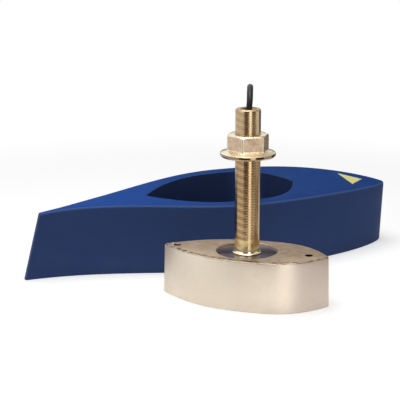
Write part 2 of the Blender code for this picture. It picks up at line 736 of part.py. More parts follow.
def build_plug():
    """The connector lies on its coupling ring, its local Z along the cable toward the pins."""
    axis = axis_empty("plug axis", (*PLUG_PLACE, PLUG_RING_RADIUS), tip=math.radians(90))
    body_start = PLUG_BOOT_LENGTH + FIT
    neck_start = body_start + PLUG_BODY_LENGTH
    neck_end = neck_start + PLUG_NECK_LENGTH
    socket_radius = PLUG_NECK_RADIUS - PLUG_WALL
    socket_floor = neck_end - PLUG_SOCKET_DEPTH
    boot = turned(
        "boot",
        (
            (0.0, PLUG_BOOT_LENGTH),
            (PLUG_BOOT_RADIUS, PLUG_BOOT_LENGTH),
            (PLUG_BOOT_RADIUS, PLUG_BOOT_LENGTH - PLUG_BOOT_COLLAR),
            (CABLE_RADIUS + PLUG_BOOT_LIP, 0.0),
            (0.0, 0.0),
        ),
        28,
    )
    body = turned(
        "body",
        (
            (0.0, socket_floor),
            (socket_radius, socket_floor),
            (socket_radius, neck_end),
            (PLUG_NECK_RADIUS, neck_end),
            (PLUG_NECK_RADIUS, neck_start),
            (PLUG_BODY_RADIUS, neck_start),
            (PLUG_BODY_RADIUS, body_start),
            (0.0, body_start),
        ),
        32,
    )
    ring_end = neck_start + FIT + PLUG_RING_LENGTH
    ring = prism("ring", ribbed_outline(), neck_start + FIT, ring_end)
    ring.parent = axis
    boolean(ring, rod("ring_bore", PLUG_NECK_RADIUS + FIT, neck_start - OVERRUN, ring_end + OVERRUN))
    insert_start = socket_floor + FIT
    insert = rod("insert", socket_radius - FIT, insert_start, insert_start + PLUG_INSERT_LENGTH)
    insert.parent = axis
    for number in range(1, PLUG_PIN_COUNT + 1):
        turn = 2 * math.pi * number / PLUG_PIN_COUNT
        x, y = PLUG_PIN_CIRCLE * math.cos(turn), PLUG_PIN_CIRCLE * math.sin(turn)
        boolean(insert, rod("pin_way", PLUG_PIN_RADIUS + FIT, body_start, neck_end, x, y, 12))
        pin = rod("pin", PLUG_PIN_RADIUS, insert_start, insert_start + PLUG_PIN_LENGTH, x, y, 12)
        finish(pin, f"plug_pin_{number}", axis, (0.8, 0.62, 0.25), 0.25, 1.0)
    finish(boot, "plug_boot", axis, (0.02, 0.02, 0.02), 0.6)
    finish(body, "plug_body", axis, (0.025, 0.025, 0.028), 0.45)
    finish(ring, "plug_ring", axis, (0.03, 0.03, 0.033), 0.5)
    finish(insert, "plug_insert", axis, (0.04, 0.04, 0.04), 0.5)


# Fairing


def fairing_half_width(s):
    """Hollow flanks to the thin tail, full flanks to the nose."""
    half, tail, nose = FAIRING_WIDTH / 2, TAIL_WIDTH / 2, NOSE_WIDTH / 2
    if s < FAIRING_WIDEST_S:
        share = (s / FAIRING_WIDEST_S) ** FLANK_HOLLOW
        return tail + (half - tail) * (1 - math.cos(math.pi * share)) / 2
    share = (s - FAIRING_WIDEST_S) / (FAIRING_LENGTH - FAIRING_WIDEST_S)
    return nose + (half - nose) * (1 - share**NOSE_FULLNESS) ** NOSE_ROUNDNESS


def fairing_top(s, t):
    """Height of the top face, which slopes across and falls away to the tail and the nose."""
    if s < FAIRING_WIDEST_S:
        drop = TAIL_DROP * (1 - s / FAIRING_WIDEST_S) ** 2.7
    else:
        drop = NOSE_DROP * ((s - FAIRING_WIDEST_S) / (FAIRING_LENGTH - FAIRING_WIDEST_S)) ** 3
    return FAIRING_HEIGHT - drop + FAIRING_CROSS_SLOPE * t


def fairing_section(s):
    """The closed outline across the fairing at s: chamfered foot, upright walls, rounded top edges."""
    half = fairing_half_width(s)
    foot = min(FAIRING_FOOT_CHAMFER, 0.3 * half)
    edge = min(FAIRING_EDGE, 0.6 * half)
    outline = [(foot - half, 0.0), (half - foot, 0.0), (half, foot)]
    arc = [math.radians(90 * step / FAIRING_EDGE_STEPS) for step in range(FAIRING_EDGE_STEPS + 1)]
    for side, angles in ((1, arc), (-1, arc[::-1])):
        for angle in angles:
            t = side * (half - edge + edge * math.cos(angle))
            outline.append((t, fairing_top(s, t) - edge + edge * math.sin(angle)))
    outline.append((-half, foot))
    return outline


def fairing_lean(s, z):
    """How far the raked tail and nose move a point at height z along the fairing."""
    tail = TAIL_RAKE * max(0.0, 1 - s / TAIL_RAKE_LENGTH) ** 2
    nose = NOSE_RAKE * max(0.0, 1 - (FAIRING_LENGTH - s) / NOSE_RAKE_LENGTH) ** 2
    return (tail + nose) * z / FAIRING_HEIGHT


def fairing_stations():
    """Even steps along the flanks, closing up toward the nose."""
    tail = [FAIRING_WIDEST_S * step / TAIL_STATIONS for step in range(TAIL_STATIONS)]
    ahead = FAIRING_LENGTH - FAIRING_WIDEST_S
    turns = [math.pi / 2 * step / NOSE_STATIONS for step in range(NOSE_STATIONS + 1)]
    return tail + [FAIRING_WIDEST_S + ahead * math.sin(turn) for turn in turns]


def build_fairing():
    axis = axis_empty("fairing axis", (*FAIRING_PLACE, 0.0), FAIRING_YAW)
    bm = bmesh.new()
    rings = []
    for s in fairing_stations():
        section = fairing_section(s)
        rings.append([bm.verts.new((s + fairing_lean(s, z), t, z)) for t, z in section])
    for ring, following in zip(rings, rings[1:]):
        for i in range(len(ring)):
            j = (i + 1) % len(ring)
            bm.faces.new((ring[i], following[i], following[j], ring[j]))
    bm.faces.new(rings[0])
    bm.faces.new(rings[-1][::-1])
    bmesh.ops.recalc_face_normals(bm, faces=bm.faces)
    fairing = mesh_object("fairing", bm)
    fairing.parent = axis
    above = fairing_top(FAIRING_WIDEST_S, FAIRING_WIDTH / 2) + OVERRUN
    pocket = boolean(fairing, prism("pocket", almond(-POCKET_CLEARANCE), POCKET_FLOOR, above))
    pocket.location.x = POCKET_S
    hole_radius = STEM_RADIUS + STEM_HOLE_CLEARANCE
    boolean(fairing, rod("stem_way", hole_radius, -OVERRUN, above, POCKET_S + STEM_AHEAD, vertices=40))
    pin_way_floor = POCKET_FLOOR - LOCATING_PIN_HEIGHT - POCKET_CLEARANCE
    pin_way_radius = LOCATING_PIN_RADIUS + POCKET_CLEARANCE / 2
    pin_way_place = (POCKET_S + LOCATING_PIN_X, LOCATING_PIN_ASIDE)
    boolean(fairing, rod("pin_way", pin_way_radius, pin_way_floor, above, *pin_way_place, 16))
    finish(fairing, "fairing", axis, (0.03, 0.085, 0.33), 0.55)
    build_bow_arrow(axis)


def build_bow_arrow(axis):
    """A thin triangle that follows the top face and points to the nose."""
    bm = bmesh.new()
    tip = FAIRING_LENGTH - ARROW_TO_NOSE
    rows = []
    for step in range(ARROW_STEPS):
        share = step / ARROW_STEPS
        s = tip - ARROW_LENGTH * (1 - share)
        reach = ARROW_WIDTH / 2 * (1 - share)
        x = s + fairing_lean(s, FAIRING_HEIGHT)
        rows.append([bm.verts.new((x, t, fairing_top(s, t) + FIT)) for t in (-reach, reach)])
    for near, far in zip(rows, rows[1:]):
        bm.faces.new((near[0], far[0], far[1], near[1]))
    point = bm.verts.new((tip + fairing_lean(tip, FAIRING_HEIGHT), 0.0, fairing_top(tip, 0.0) + FIT))
    bm.faces.new((rows[-1][0], point, rows[-1][1]))
    arrow = mesh_object("arrow", bm)
    shell = arrow.modifiers.new("Thickness", "SOLIDIFY")
    shell.thickness = ARROW_THICKNESS
    shell.offset = 1.0
    finish(arrow, "bow_arrow", axis, (0.75, 0.65, 0.18), 0.6)


def main():
    clear_scene()
    insert_axis = axis_empty("insert axis", HOUSING_PLACE, HOUSING_YAW)
    build_housing(insert_axis)
    build_stem()
    build_hull_nut()
    build_window(insert_axis)
    build_backing_block(insert_axis)
    build_ceramics(insert_axis)
    build_electronics(insert_axis)
    build_cable()
    build_coil()
    build_plug()
    build_fairing()


main()
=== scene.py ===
"""Looks for a thru-hull sonar transducer and its fairing block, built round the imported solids.

Metres, +Z up, origin on the stem's axis at floor level. The fine pieces repeat the part's own dimensions,
so that each lies where its solid lies.
"""

import math

import bmesh
import bpy
from mathutils import Matrix, Vector


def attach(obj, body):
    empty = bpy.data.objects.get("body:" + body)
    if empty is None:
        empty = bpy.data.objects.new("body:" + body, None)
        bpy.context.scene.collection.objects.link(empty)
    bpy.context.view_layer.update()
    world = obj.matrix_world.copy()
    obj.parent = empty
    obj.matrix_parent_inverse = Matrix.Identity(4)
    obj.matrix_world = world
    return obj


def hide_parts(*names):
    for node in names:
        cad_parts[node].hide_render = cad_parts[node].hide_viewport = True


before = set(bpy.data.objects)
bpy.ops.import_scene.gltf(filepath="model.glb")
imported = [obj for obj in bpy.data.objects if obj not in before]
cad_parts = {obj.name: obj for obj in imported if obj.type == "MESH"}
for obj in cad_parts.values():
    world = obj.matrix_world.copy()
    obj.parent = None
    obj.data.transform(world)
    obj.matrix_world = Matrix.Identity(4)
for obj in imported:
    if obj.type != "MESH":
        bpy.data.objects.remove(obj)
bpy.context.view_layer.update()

# Dimensions shared with the part
FIT = 0.0003
HOUSING_LENGTH = 0.2205
HOUSING_WIDTH = 0.105
HOUSING_HEIGHT = 0.0645
HOUSING_YAW = math.radians(-16.8)
STEM_AHEAD = 0.0024
HOUSING_PLACE = (-STEM_AHEAD * math.cos(HOUSING_YAW), -STEM_AHEAD * math.sin(HOUSING_YAW), 0.0)
ALMOND_WIDEST_X = 0.0140
BOW_FULLNESS = 3.0
STERN_FULLNESS = 2.3
TIP_EDGE = 0.0030
HOUSING_WALL = 0.0050
HOUSING_DRAFT = 0.0016
DECK_THICKNESS = 0.0080
RECESS_RADIUS = 0.0393
RECESS_DEPTH = 0.0022
BOSS_RADIUS = 0.0235
BOSS_DEPTH = 0.0105
PIN_HOLE_RADIUS = 0.0045
PIN_HOLE_DEPTH = 0.0055
PIN_HOLE_PLACES = (0.08275, -0.09025)
LOCATING_PIN_RADIUS = 0.0012
LOCATING_PIN_HEIGHT = 0.0050
LOCATING_PIN_DEPTH = 0.0040
LOCATING_PIN_PLACE = (-0.09335, -0.0093)
STEM_RADIUS = 0.0159
STEM_BORE_RADIUS = 0.0080
STEM_TOP = 0.2470
STEM_CHAMFER = 0.0012
STEM_FOOT_RADIUS = 0.0182
STEM_FOOT_HEIGHT = 0.0045
NUT_SEAT_Z = 0.1870
NUT_HEX_WIDTH = 0.0472
NUT_HEIGHT = 0.0285
NUT_TOP = NUT_SEAT_Z + NUT_HEIGHT
NUT_TURN = math.radians(-16.7)
FLANGE_RADIUS = 0.0349
FLANGE_RIM = 0.0053
FLANGE_CROWN = 0.0095
FLANGE_CHAMFER = 0.0018
CABLE_RADIUS = 0.0039
CABLE_START = 0.2180
COIL_CENTRE = (-0.0724, 0.4150)
COIL_PITCH = 0.0080
COIL_COLUMNS = 6
COIL_MEAN_RADIUS = 0.0670
COIL_FLOOR_GAP = 0.0013
FAIRING_PLACE = (-0.2954, 0.0799)
FAIRING_YAW = math.radians(22.6)
FAIRING_LENGTH = 0.5460
FAIRING_WIDTH = 0.1440
FAIRING_WIDEST_S = 0.3100
FAIRING_HEIGHT = 0.1020
FAIRING_CROSS_SLOPE = 0.1400
TAIL_WIDTH = 0.0080
TAIL_DROP = 0.0120
TAIL_DROP_CURVE = 2.7
TAIL_RAKE = 0.0260
TAIL_RAKE_LENGTH = 0.1100
NOSE_WIDTH = 0.0080
NOSE_DROP = 0.0145
NOSE_DROP_CURVE = 3
NOSE_RAKE = 0.0050
NOSE_RAKE_LENGTH = 0.1000
FLANK_HOLLOW = 1.12
NOSE_FULLNESS = 2.1
NOSE_ROUNDNESS = 0.75
FAIRING_EDGE = 0.0035
FAIRING_FOOT_CHAMFER = 0.0012
POCKET_S = 0.2880
POCKET_CLEARANCE = 0.0025
POCKET_FLOOR = 0.0280
STEM_HOLE_RADIUS = 0.0179

# Fine detail that only the looks carry. A groove's half width is a share of the thread's pitch
THREAD_PITCH = 0.0021
THREAD_DEPTH = 0.00007
THREAD_START = 0.0815
THREAD_END = 0.2440
GROOVE_HALF_WIDTH = 0.42
DECK_EDGE = 0.0016
POCKET_BOW_FULLNESS = 3.7

# How far a cutter runs past the face that it leaves by
CUT_PAST = 0.01

# Waves in the materials, in radians a metre
TURNING_WAVE = 9000
THREAD_BAND_WAVE = 714
THREAD_BAND_SLANT = 190
WEAVE_WAVE = 5200
WEAVE_SLANT = 2600

# The cable's route from the stem to the coil, and from the coil to the plug
CABLE_ROUTE = (
    (0.0000, 0.0000, CABLE_START),
    (0.0000, 0.0000, STEM_TOP - 0.0180),
    (0.0004, 0.0000, STEM_TOP - 0.0065),
    (0.0019, 0.0042, STEM_TOP + 0.0084),
    (0.0027, 0.0158, STEM_TOP + 0.0183),
    (0.0034, 0.0315, STEM_TOP + 0.0220),
    (0.0038, 0.0473, STEM_TOP + 0.0183),
    (0.0040, 0.0573, STEM_TOP + 0.0099),
    (0.0043, 0.0700, STEM_TOP - 0.0072),
    (0.0046, 0.0860, STEM_TOP - 0.0285),
    (0.0050, 0.1060, STEM_TOP - 0.0535),
    (0.0056, 0.1310, STEM_TOP - 0.0775),
    (0.0066, 0.1620, 0.1480),
    (0.0078, 0.1970, 0.1315),
    (0.0092, 0.2330, 0.1209),
    (0.0104, 0.2620, 0.1171),
    (0.0110, 0.2790, 0.1158),
    (0.0118, 0.2990, 0.1105),
    (0.0124, 0.3136, 0.0965),
    (0.0128, 0.3215, 0.0725),
    (0.0131, 0.3285, 0.0465),
    (0.0135, 0.3395, 0.0215),
    (0.0141, 0.3560, 0.0075),
    (0.0146, 0.3774, 0.0046),
)
TAIL_ROUTE = (
    (-0.1594, 0.3774, 0.0262),
    (-0.1596, 0.3600, 0.0208),
    (-0.1600, 0.3440, 0.0148),
    (-0.1602, 0.3300, 0.0117),
    (-0.1602, 0.3180, 0.0115),
)

# The coil's levels, in degrees round it: where the first crossing starts, each crossing's span, and
# whether the columns go inward (-1) or outward (1). Then how far the coil runs on past its last crossing
COIL_LAYERS = ((360, 40, -1), (2430, 50, 1), (4490, 50, -1), (6550, 50, 1))
COIL_RUN_OUT = 60

# The photograph's view
CAMERA_PLACE = (-0.0597, -1.5164, 0.50775)
CAMERA_PITCH = math.radians(76.03)
CAMERA_LENS = 111.7

# The floor's glow where it keeps the shadow, and the light that the world sheds on things
FLOOR_GLOW = 0.44
WORLD_FILL = 0.16

# Finishes of pieces that keep their solid's mesh: the material's name, its dark and its light tone,
# the speckles' scale, the roughness, and the metallic and the bump's depth where those aren't the usual
SPECKLED = {
    "backing_block": ("cork_block", (0.20, 0.11, 0.05), (0.42, 0.27, 0.15), 260, 0.8, 0.0, 0.0004),
    "cable_core": ("tinned_screen", (0.42, 0.42, 0.44), (0.62, 0.62, 0.64), 900, 0.35, 0.9),
    "junction_board": ("board_green", (0.012, 0.12, 0.05), (0.02, 0.19, 0.08), 700, 0.35),
    "lead_high": ("lead_blue", (0.03, 0.07, 0.38), (0.06, 0.12, 0.55), 400, 0.45),
    "lead_low": ("lead_red", (0.42, 0.03, 0.025), (0.62, 0.06, 0.045), 400, 0.45),
    "lead_temperature": ("lead_white", (0.58, 0.58, 0.56), (0.74, 0.74, 0.72), 400, 0.45),
    "lead_transformer": ("lead_yellow", (0.62, 0.55, 0.07), (0.8, 0.72, 0.14), 400, 0.45),
    "temperature_sensor": ("sensor_bronze", (0.55, 0.45, 0.28), (0.72, 0.62, 0.42), 350, 0.25, 1.0),
    "transformer_bobbin": ("bobbin_nylon", (0.70, 0.67, 0.58), (0.82, 0.80, 0.72), 300, 0.45),
    "transformer_core": ("ferrite", (0.035, 0.035, 0.04), (0.08, 0.08, 0.085), 600, 0.55),
    "transformer_winding": ("enamelled_wire", (0.42, 0.14, 0.04), (0.62, 0.27, 0.10), 800, 0.3, 0.9),
}


# Materials


class Signal:
    """A value in a material. Arithmetic on it adds the Math nodes."""

    def __init__(self, paint, socket):
        self.paint = paint
        self.socket = socket

    def maths(self, operation, first, second):
        return self.paint.node("Math", {"operation": operation}, {0: first, 1: second})

    def __add__(self, other):
        return self.maths("ADD", self, other)

    def __sub__(self, other):
        return self.maths("SUBTRACT", self, other)

    def __rsub__(self, other):
        return self.maths("SUBTRACT", other, self)

    def __mul__(self, other):
        return self.maths("MULTIPLY", self, other)

    def __truediv__(self, other):
        return self.maths("DIVIDE", self, other)

    __radd__ = __add__
    __rmul__ = __mul__

    def above(self, least):
        return self.maths("MAXIMUM", self, least)

    def power(self, exponent):
        return self.maths("POWER", self, exponent)

    def sine(self):
        return self.paint.node("Math", {"operation": "SINE"}, {0: self})

    def between(self, low, high):
        """0 below low, 1 above high and smooth between; the other way round if low is the greater."""
        ends = {"From Min": min(low, high), "From Max": max(low, high)}
        rise = self.paint.node("MapRange", {"interpolation_type": "SMOOTHSTEP"}, {"Value": self, **ends})
        return rise if low < high else 1 - rise


class Paint:
    """A procedural material under construction."""

    def __init__(self, name, roughness=0.5, metallic=0.0):
        self.material = bpy.data.materials.new(name)
        self.material.use_nodes = True
        self.tree = self.material.node_tree
        self.shader = self.tree.nodes["Principled BSDF"]
        self.feed(self.shader.inputs["Roughness"], roughness)
        self.feed(self.shader.inputs["Metallic"], metallic)

    def feed(self, socket, value):
        if isinstance(value, Signal):
            self.tree.links.new(value.socket, socket)
        elif isinstance(value, tuple) and socket.type == "RGBA":
            socket.default_value = (*value, 1.0)
        else:
            socket.default_value = value

    def node(self, kind, settings=None, values=None, output=0):
        made = self.tree.nodes.new("ShaderNode" + kind)
        for name, value in (settings or {}).items():
            setattr(made, name, value)
        for name, value in (values or {}).items():
            self.feed(made.inputs[name], value)
        return Signal(self, made.outputs[output])

    def place(self, stretch=(1.0, 1.0, 1.0)):
        """The point on the surface in metres, each axis stretched."""
        point = self.node("TexCoord", output=3)
        return self.node("Mapping", {}, {"Vector": point, "Scale": stretch})

    def axis(self, index, output=3):
        """One coordinate of the surface's point, or of its normal with output 1."""
        return self.node("SeparateXYZ", {}, {0: self.node("TexCoord", output=output)}, index)

    def along(self, place, yaw, index=0):
        """The surface's point along (0) or across (1) a piece that stands at place, turned by yaw."""
        values = {"Vector": self.node("TexCoord", output=3), "Location": place, "Rotation": (0.0, 0.0, yaw)}
        turned = self.node("Mapping", {"vector_type": "TEXTURE"}, values)
        return self.node("SeparateXYZ", {}, {0: turned}, index)

    def radius(self):
        """The surface's distance from the Z axis."""
        return self.node("VectorMath", {"operation": "LENGTH"}, {0: self.place((1, 1, 0))}, 1)

    def apart(self, place, stretch=(1.0, 1.0, 1.0)):
        """The surface's distance from a place, each axis stretched."""
        return self.node("VectorMath", {"operation": "DISTANCE"}, {0: self.place(stretch), 1: place}, 1)

    def noise(self, scale, detail=3.0, roughness=0.5, stretch=(1.0, 1.0, 1.0)):
        values = {"Vector": self.place(stretch), "Scale": scale, "Detail": detail, "Roughness": roughness}
        return self.node("TexNoise", {}, values)

    def cells(self, scale):
        return self.node("TexVoronoi", {}, {"Vector": self.place(), "Scale": scale})

    def mix(self, factor, first, second):
        values = {0: factor, 6: first, 7: second}
        return self.node("Mix", {"data_type": "RGBA"}, values, 2)

    def bump(self, height, distance, strength=1.0, under=None):
        values = {"Height": height, "Distance": distance, "Strength": strength}
        if under is not None:
            values["Normal"] = under
        return self.node("Bump", {}, values)

    def finish(self, **sockets):
        for name, value in sockets.items():
            self.feed(self.shader.inputs[name.replace("_", " ")], value)
        return self.material


def blasted_bronze():
    """The casting: blasted pale flanks, a browner deck painted darker in part as shade, and a smooth recess
    round the stem whose dark colour is a painted reflection.
    """
    paint = Paint("blasted_bronze", metallic=1.0)
    broad = paint.noise(14, 4, 0.6)
    patch = paint.noise(55, 5, 0.65)
    grain = paint.noise(950, 2, 0.5)
    pits = paint.cells(420).between(0.22, 0.05)
    flank = paint.mix(broad.between(0.35, 0.7), (0.715, 0.625, 0.51), (0.80, 0.715, 0.60))
    flank = paint.mix(patch.between(0.42, 0.75) * 0.4, flank, (0.65, 0.545, 0.43))
    deck = paint.mix(patch.between(0.35, 0.7), (0.46, 0.355, 0.255), (0.335, 0.245, 0.17))
    along = paint.along(HOUSING_PLACE, HOUSING_YAW)
    across = paint.along(HOUSING_PLACE, HOUSING_YAW, 1)
    # Painted light: the deck lighter towards its front.
    deck = paint.mix(across.between(0.0, -0.03) * 0.5, deck, (0.60, 0.49, 0.36))
    tilt = paint.axis(2, output=1)
    up = tilt.between(0.6, 0.95)
    # Painted shade in part: the deck darker and browner than the flanks.
    colour = paint.mix(up, flank, deck)
    radius = paint.radius()
    recess = radius.between(RECESS_RADIUS + 0.0006, RECESS_RADIUS - 0.0004) * up
    # Painted reflection: the smooth recess is coloured dark and purplish, with painted shade making it darker
    # towards the bow.
    recess_painted_reflection = paint.mix(along.between(0.008, 0.030), (0.18, 0.125, 0.145), (0.105, 0.078, 0.095))
    colour = paint.mix(recess, colour, recess_painted_reflection)
    # Painted shade: the flanks darker and pinker towards the bow.
    colour = paint.mix(along.between(0.055, 0.090) * (1 - up) * 0.8, colour, (0.66, 0.555, 0.485))
    # Painted shade along the deck's rounded edge, broken up by nicks.
    edge = tilt.between(0.10, 0.35) * tilt.between(0.97, 0.75)
    nicks = paint.noise(190, 4, 0.7, (1.0, 1.0, 2.0)).between(0.46, 0.56)
    colour = paint.mix(edge * (0.35 + 0.5 * nicks), colour, (0.24, 0.165, 0.12))
    stain = along.between(0.034, 0.042) * along.between(0.068, 0.060)
    stain = stain * across.between(0.004, 0.008) * across.between(0.022, 0.017)
    ahead = (along - ALMOND_WIDEST_X) / (HOUSING_LENGTH / 2 - ALMOND_WIDEST_X)
    astern = (ALMOND_WIDEST_X - along) / (HOUSING_LENGTH / 2 + ALMOND_WIDEST_X)
    fullness = ahead.above(0.0).power(BOW_FULLNESS) + astern.above(0.0).power(STERN_FULLNESS)
    to_edge = (1 - fullness) * (HOUSING_WIDTH / 2 - HOUSING_DRAFT) + across
    line = to_edge.between(0.0014, 0.0022) * to_edge.between(0.0085, 0.0060)
    broken = paint.noise(110, 5, 0.7).between(0.47, 0.53)
    colour = paint.mix(line * broken * up * 0.9, colour, (0.07, 0.045, 0.030))
    front = across.between(-0.018, -0.034) + stain
    marks = paint.noise(150, 5, 0.75, (1.0, 2.6, 1.0)).between(0.54, 0.62)
    colour = paint.mix(marks * front * up * 0.8, colour, (0.10, 0.065, 0.045))
    colour = paint.mix(pits * 0.4, colour, (0.30, 0.23, 0.16))
    for x, darkness in zip(PIN_HOLE_PLACES, (1.0, 0.6)):
        centre = Matrix.Rotation(HOUSING_YAW, 3, "Z") @ Vector((x, 0.0, 0.0)) + Vector(HOUSING_PLACE)
        apart = paint.apart(tuple(centre), (1, 1, 0))
        shade = apart.between(PIN_HOLE_RADIUS + 0.0011, PIN_HOLE_RADIUS + 0.0003)
        colour = paint.mix(shade * darkness, colour, (0.015, 0.010, 0.008))
    rings = (radius * TURNING_WAVE).sine()
    roughness = 0.33 + 0.12 * patch + 0.06 * grain + up * 0.10
    roughness = roughness * (1 - recess) + (0.09 + 0.06 * patch) * recess
    blast = paint.bump(grain, 0.00012, 0.55)
    wear = paint.bump(patch, 0.0010, 0.25, blast)
    turning = paint.bump(rings * recess, 0.00002, 0.6, wear)
    return paint.finish(Base_Color=colour, Roughness=roughness, Normal=turning)


def threaded_bronze():
    """The stem: bright crests, a slow change of tone, painted shade in the roots, and painted reflection
    bands, light and highlight.
    """
    paint = Paint("threaded_bronze", metallic=1.0)
    radius = paint.radius()
    height = paint.axis(2)
    root = radius.between(STEM_RADIUS - 0.00004, STEM_RADIUS - THREAD_DEPTH)
    threaded = height.between(THREAD_START - 0.002, THREAD_START + 0.002)
    tone = paint.noise(26, 4, 0.6, (1.0, 1.0, 0.6))
    bands = (height * THREAD_BAND_WAVE + paint.axis(0) * THREAD_BAND_SLANT).sine()
    left = paint.axis(0).between(0.0005, -0.0030)
    scratch = paint.noise(260, 3, 0.6, (1.0, 1.0, 9.0))
    crest = paint.mix(tone.between(0.35, 0.7), (0.55, 0.385, 0.210), (0.45, 0.305, 0.155))
    # Painted reflection: slanted dark bands on the stem's left side, standing for the thread's reflections.
    crest = paint.mix((bands * 0.5 + 0.5) * threaded * left * 0.75, crest, (0.25, 0.145, 0.07))
    # Painted shade in the thread's roots.
    colour = paint.mix(root * threaded * 0.40, crest, (0.22, 0.14, 0.07))
    # Painted light: the stem lighter above the nut.
    upper = height.between(NUT_TOP - 0.001, NUT_TOP + 0.001)
    colour = paint.mix(upper * 0.25, colour, (0.80, 0.66, 0.46))
    collar = height.between(THREAD_START + 0.001, THREAD_START - 0.001)
    colour = paint.mix(collar * 0.7, colour, (0.70, 0.55, 0.27))
    # Painted highlight: the flared foot and the stem just above it near white.
    foot = height.between(HOUSING_HEIGHT + 0.0105, HOUSING_HEIGHT + 0.0045)
    colour = paint.mix(foot, colour, (0.95, 0.86, 0.60))
    grime = paint.noise(150, 4, 0.7).between(0.56, 0.8)
    colour = paint.mix(grime * threaded * 0.5, colour, (0.25, 0.15, 0.08))
    roughness = 0.10 + 0.10 * tone + 0.06 * scratch + 0.10 * root + 0.05 * upper
    lines = paint.bump(scratch, 0.00004, 0.6)
    return paint.finish(Base_Color=colour, Roughness=roughness, Normal=lines)


def nut_bronze():
    """The nut: as-cast mottled flats with bright turned edges and flange, a painted highlight on the corners,
    painted shade underneath and a painted reflection on the rim.
    """
    paint = Paint("nut_bronze", metallic=1.0)
    mottle = paint.noise(120, 5, 0.7)
    cast = paint.cells(330).between(0.1, 0.5)
    height = paint.axis(2)
    radius = paint.radius()
    flat = height.between(NUT_SEAT_Z + FLANGE_CROWN - 0.001, NUT_SEAT_Z + FLANGE_CROWN + 0.001)
    flat = flat * height.between(NUT_TOP - 0.0005, NUT_TOP - 0.003)
    colour = paint.mix(mottle.between(0.38, 0.66), (0.65, 0.505, 0.365), (0.50, 0.365, 0.240))
    turned = paint.mix(mottle, (0.95, 0.87, 0.67), (0.84, 0.74, 0.54))
    colour = paint.mix(flat, turned, colour)
    stain = paint.noise(60, 4, 0.6).between(0.55, 0.78)
    colour = paint.mix(stain * flat * 0.5, colour, (0.44, 0.30, 0.16))
    # Painted highlight along the hexagon's corners.
    painted_corner_highlight = radius.between(0.0260, 0.0266) * flat
    colour = paint.mix(painted_corner_highlight * 0.45, colour, (0.90, 0.83, 0.70))
    # Painted shade under the nut.
    under = radius.between(FLANGE_RADIUS - 0.001, FLANGE_RADIUS - 0.003)
    under = under * height.between(NUT_SEAT_Z + 0.001, NUT_SEAT_Z)
    colour = paint.mix(under * 0.6, colour, (0.35, 0.27, 0.16))
    # Painted reflection: the flange's upright rim nearly black-brown.
    rim = radius.between(FLANGE_RADIUS - 0.0009, FLANGE_RADIUS - 0.0003)
    rim = rim * height.between(NUT_SEAT_Z + FLANGE_RIM - 0.0002, NUT_SEAT_Z + FLANGE_RIM - 0.0006)
    colour = paint.mix(rim * 0.95, colour, (0.25, 0.18, 0.11))
    roughness = (0.20 + 0.10 * mottle + flat * (0.12 + 0.12 * cast)) * (1 - rim * 0.6)
    skin = paint.bump(cast * flat + mottle * 0.4, 0.00022, 0.5)
    return paint.finish(Base_Color=colour, Roughness=roughness, Normal=skin)


def moulded_blue():
    """The fairing: satin blue plastic with a fine mould grain, faint flow marks and dusty scuffs."""
    paint = Paint("moulded_blue")
    flow = paint.noise(5, 4, 0.55, (1.0, 1.0, 2.5))
    cloud = paint.noise(38, 5, 0.6)
    grain = paint.noise(1500, 2, 0.5)
    peel = paint.noise(210, 2, 0.45)
    tilt = paint.axis(2, output=1)
    top = tilt.between(0.3, 0.9)
    ahead = paint.along((*FAIRING_PLACE, 0.0), FAIRING_YAW)
    across = paint.along((*FAIRING_PLACE, 0.0), FAIRING_YAW, 1)
    bow = ahead.between(0.10, 0.34)
    # Painted light: the top is a lit copy of the blue and the flanks a darker, duller shaded copy; the top
    # also darkens towards the bow.
    flank = paint.mix(flow.between(0.3, 0.7), (0.0400, 0.0760, 0.222), (0.0460, 0.0860, 0.245))
    painted_lit_top = paint.mix(bow, (0.0050, 0.0640, 0.330), (0.0040, 0.0400, 0.195))
    painted_lit_top = paint.mix(flow.between(0.3, 0.7) * 0.25, painted_lit_top, (0.0100, 0.0700, 0.300))
    colour = paint.mix(top, flank, painted_lit_top)
    colour = paint.mix(cloud.between(0.5, 0.8) * 0.3, colour, (0.030, 0.085, 0.300))
    # Painted highlight along the rounded top edges.
    edge = tilt.between(0.25, 0.5) * tilt.between(0.98, 0.85)
    colour = paint.mix(edge * 0.6, colour, (0.085, 0.150, 0.340))
    height = paint.axis(2)
    # Painted shade inside the pocket.
    away = ((ahead - POCKET_S) * (ahead - POCKET_S)) / 0.0135 + (across * across) / 0.0034
    inside = away.between(1.05, 0.95) * (1 - top * height.between(0.05, 0.07))
    colour = paint.mix(inside * 0.45, colour, (0.006, 0.008, 0.018))
    low = height.between(0.05, 0.0)
    dust = low * paint.noise(24, 5, 0.7).between(0.35, 0.8)
    colour = paint.mix(dust * 0.10, colour, (0.22, 0.22, 0.24))
    scuffs = paint.noise(75, 3, 0.7, (1.0, 1.0, 6.0)).between(0.66, 0.76)
    colour = paint.mix(scuffs * 0.12, colour, (0.10, 0.17, 0.42))
    roughness = 0.46 + 0.10 * cloud + 0.08 * grain
    mould = paint.bump(grain, 0.00005, 0.5)
    skin = paint.bump(peel, 0.00018, 0.3, mould)
    return paint.finish(Base_Color=colour, Roughness=roughness, Normal=skin, Specular_IOR_Level=0.09)


def cable_rubber(name="cable_rubber", tone=0.005):
    """Black jacket: fine grain, faint dust and a soft sheen."""
    paint = Paint(name)
    dust = paint.noise(130, 4, 0.65).between(0.45, 0.85)
    grain = paint.noise(1700, 2, 0.5)
    colour = paint.mix(dust * 0.5, (tone, tone, tone * 1.08), (tone * 2.6, tone * 2.5, tone * 2.4))
    roughness = 0.34 + 0.16 * dust + 0.08 * grain
    skin = paint.bump(grain, 0.00005, 0.5)
    return paint.finish(Base_Color=colour, Roughness=roughness, Normal=skin, Specular_IOR_Level=0.3)


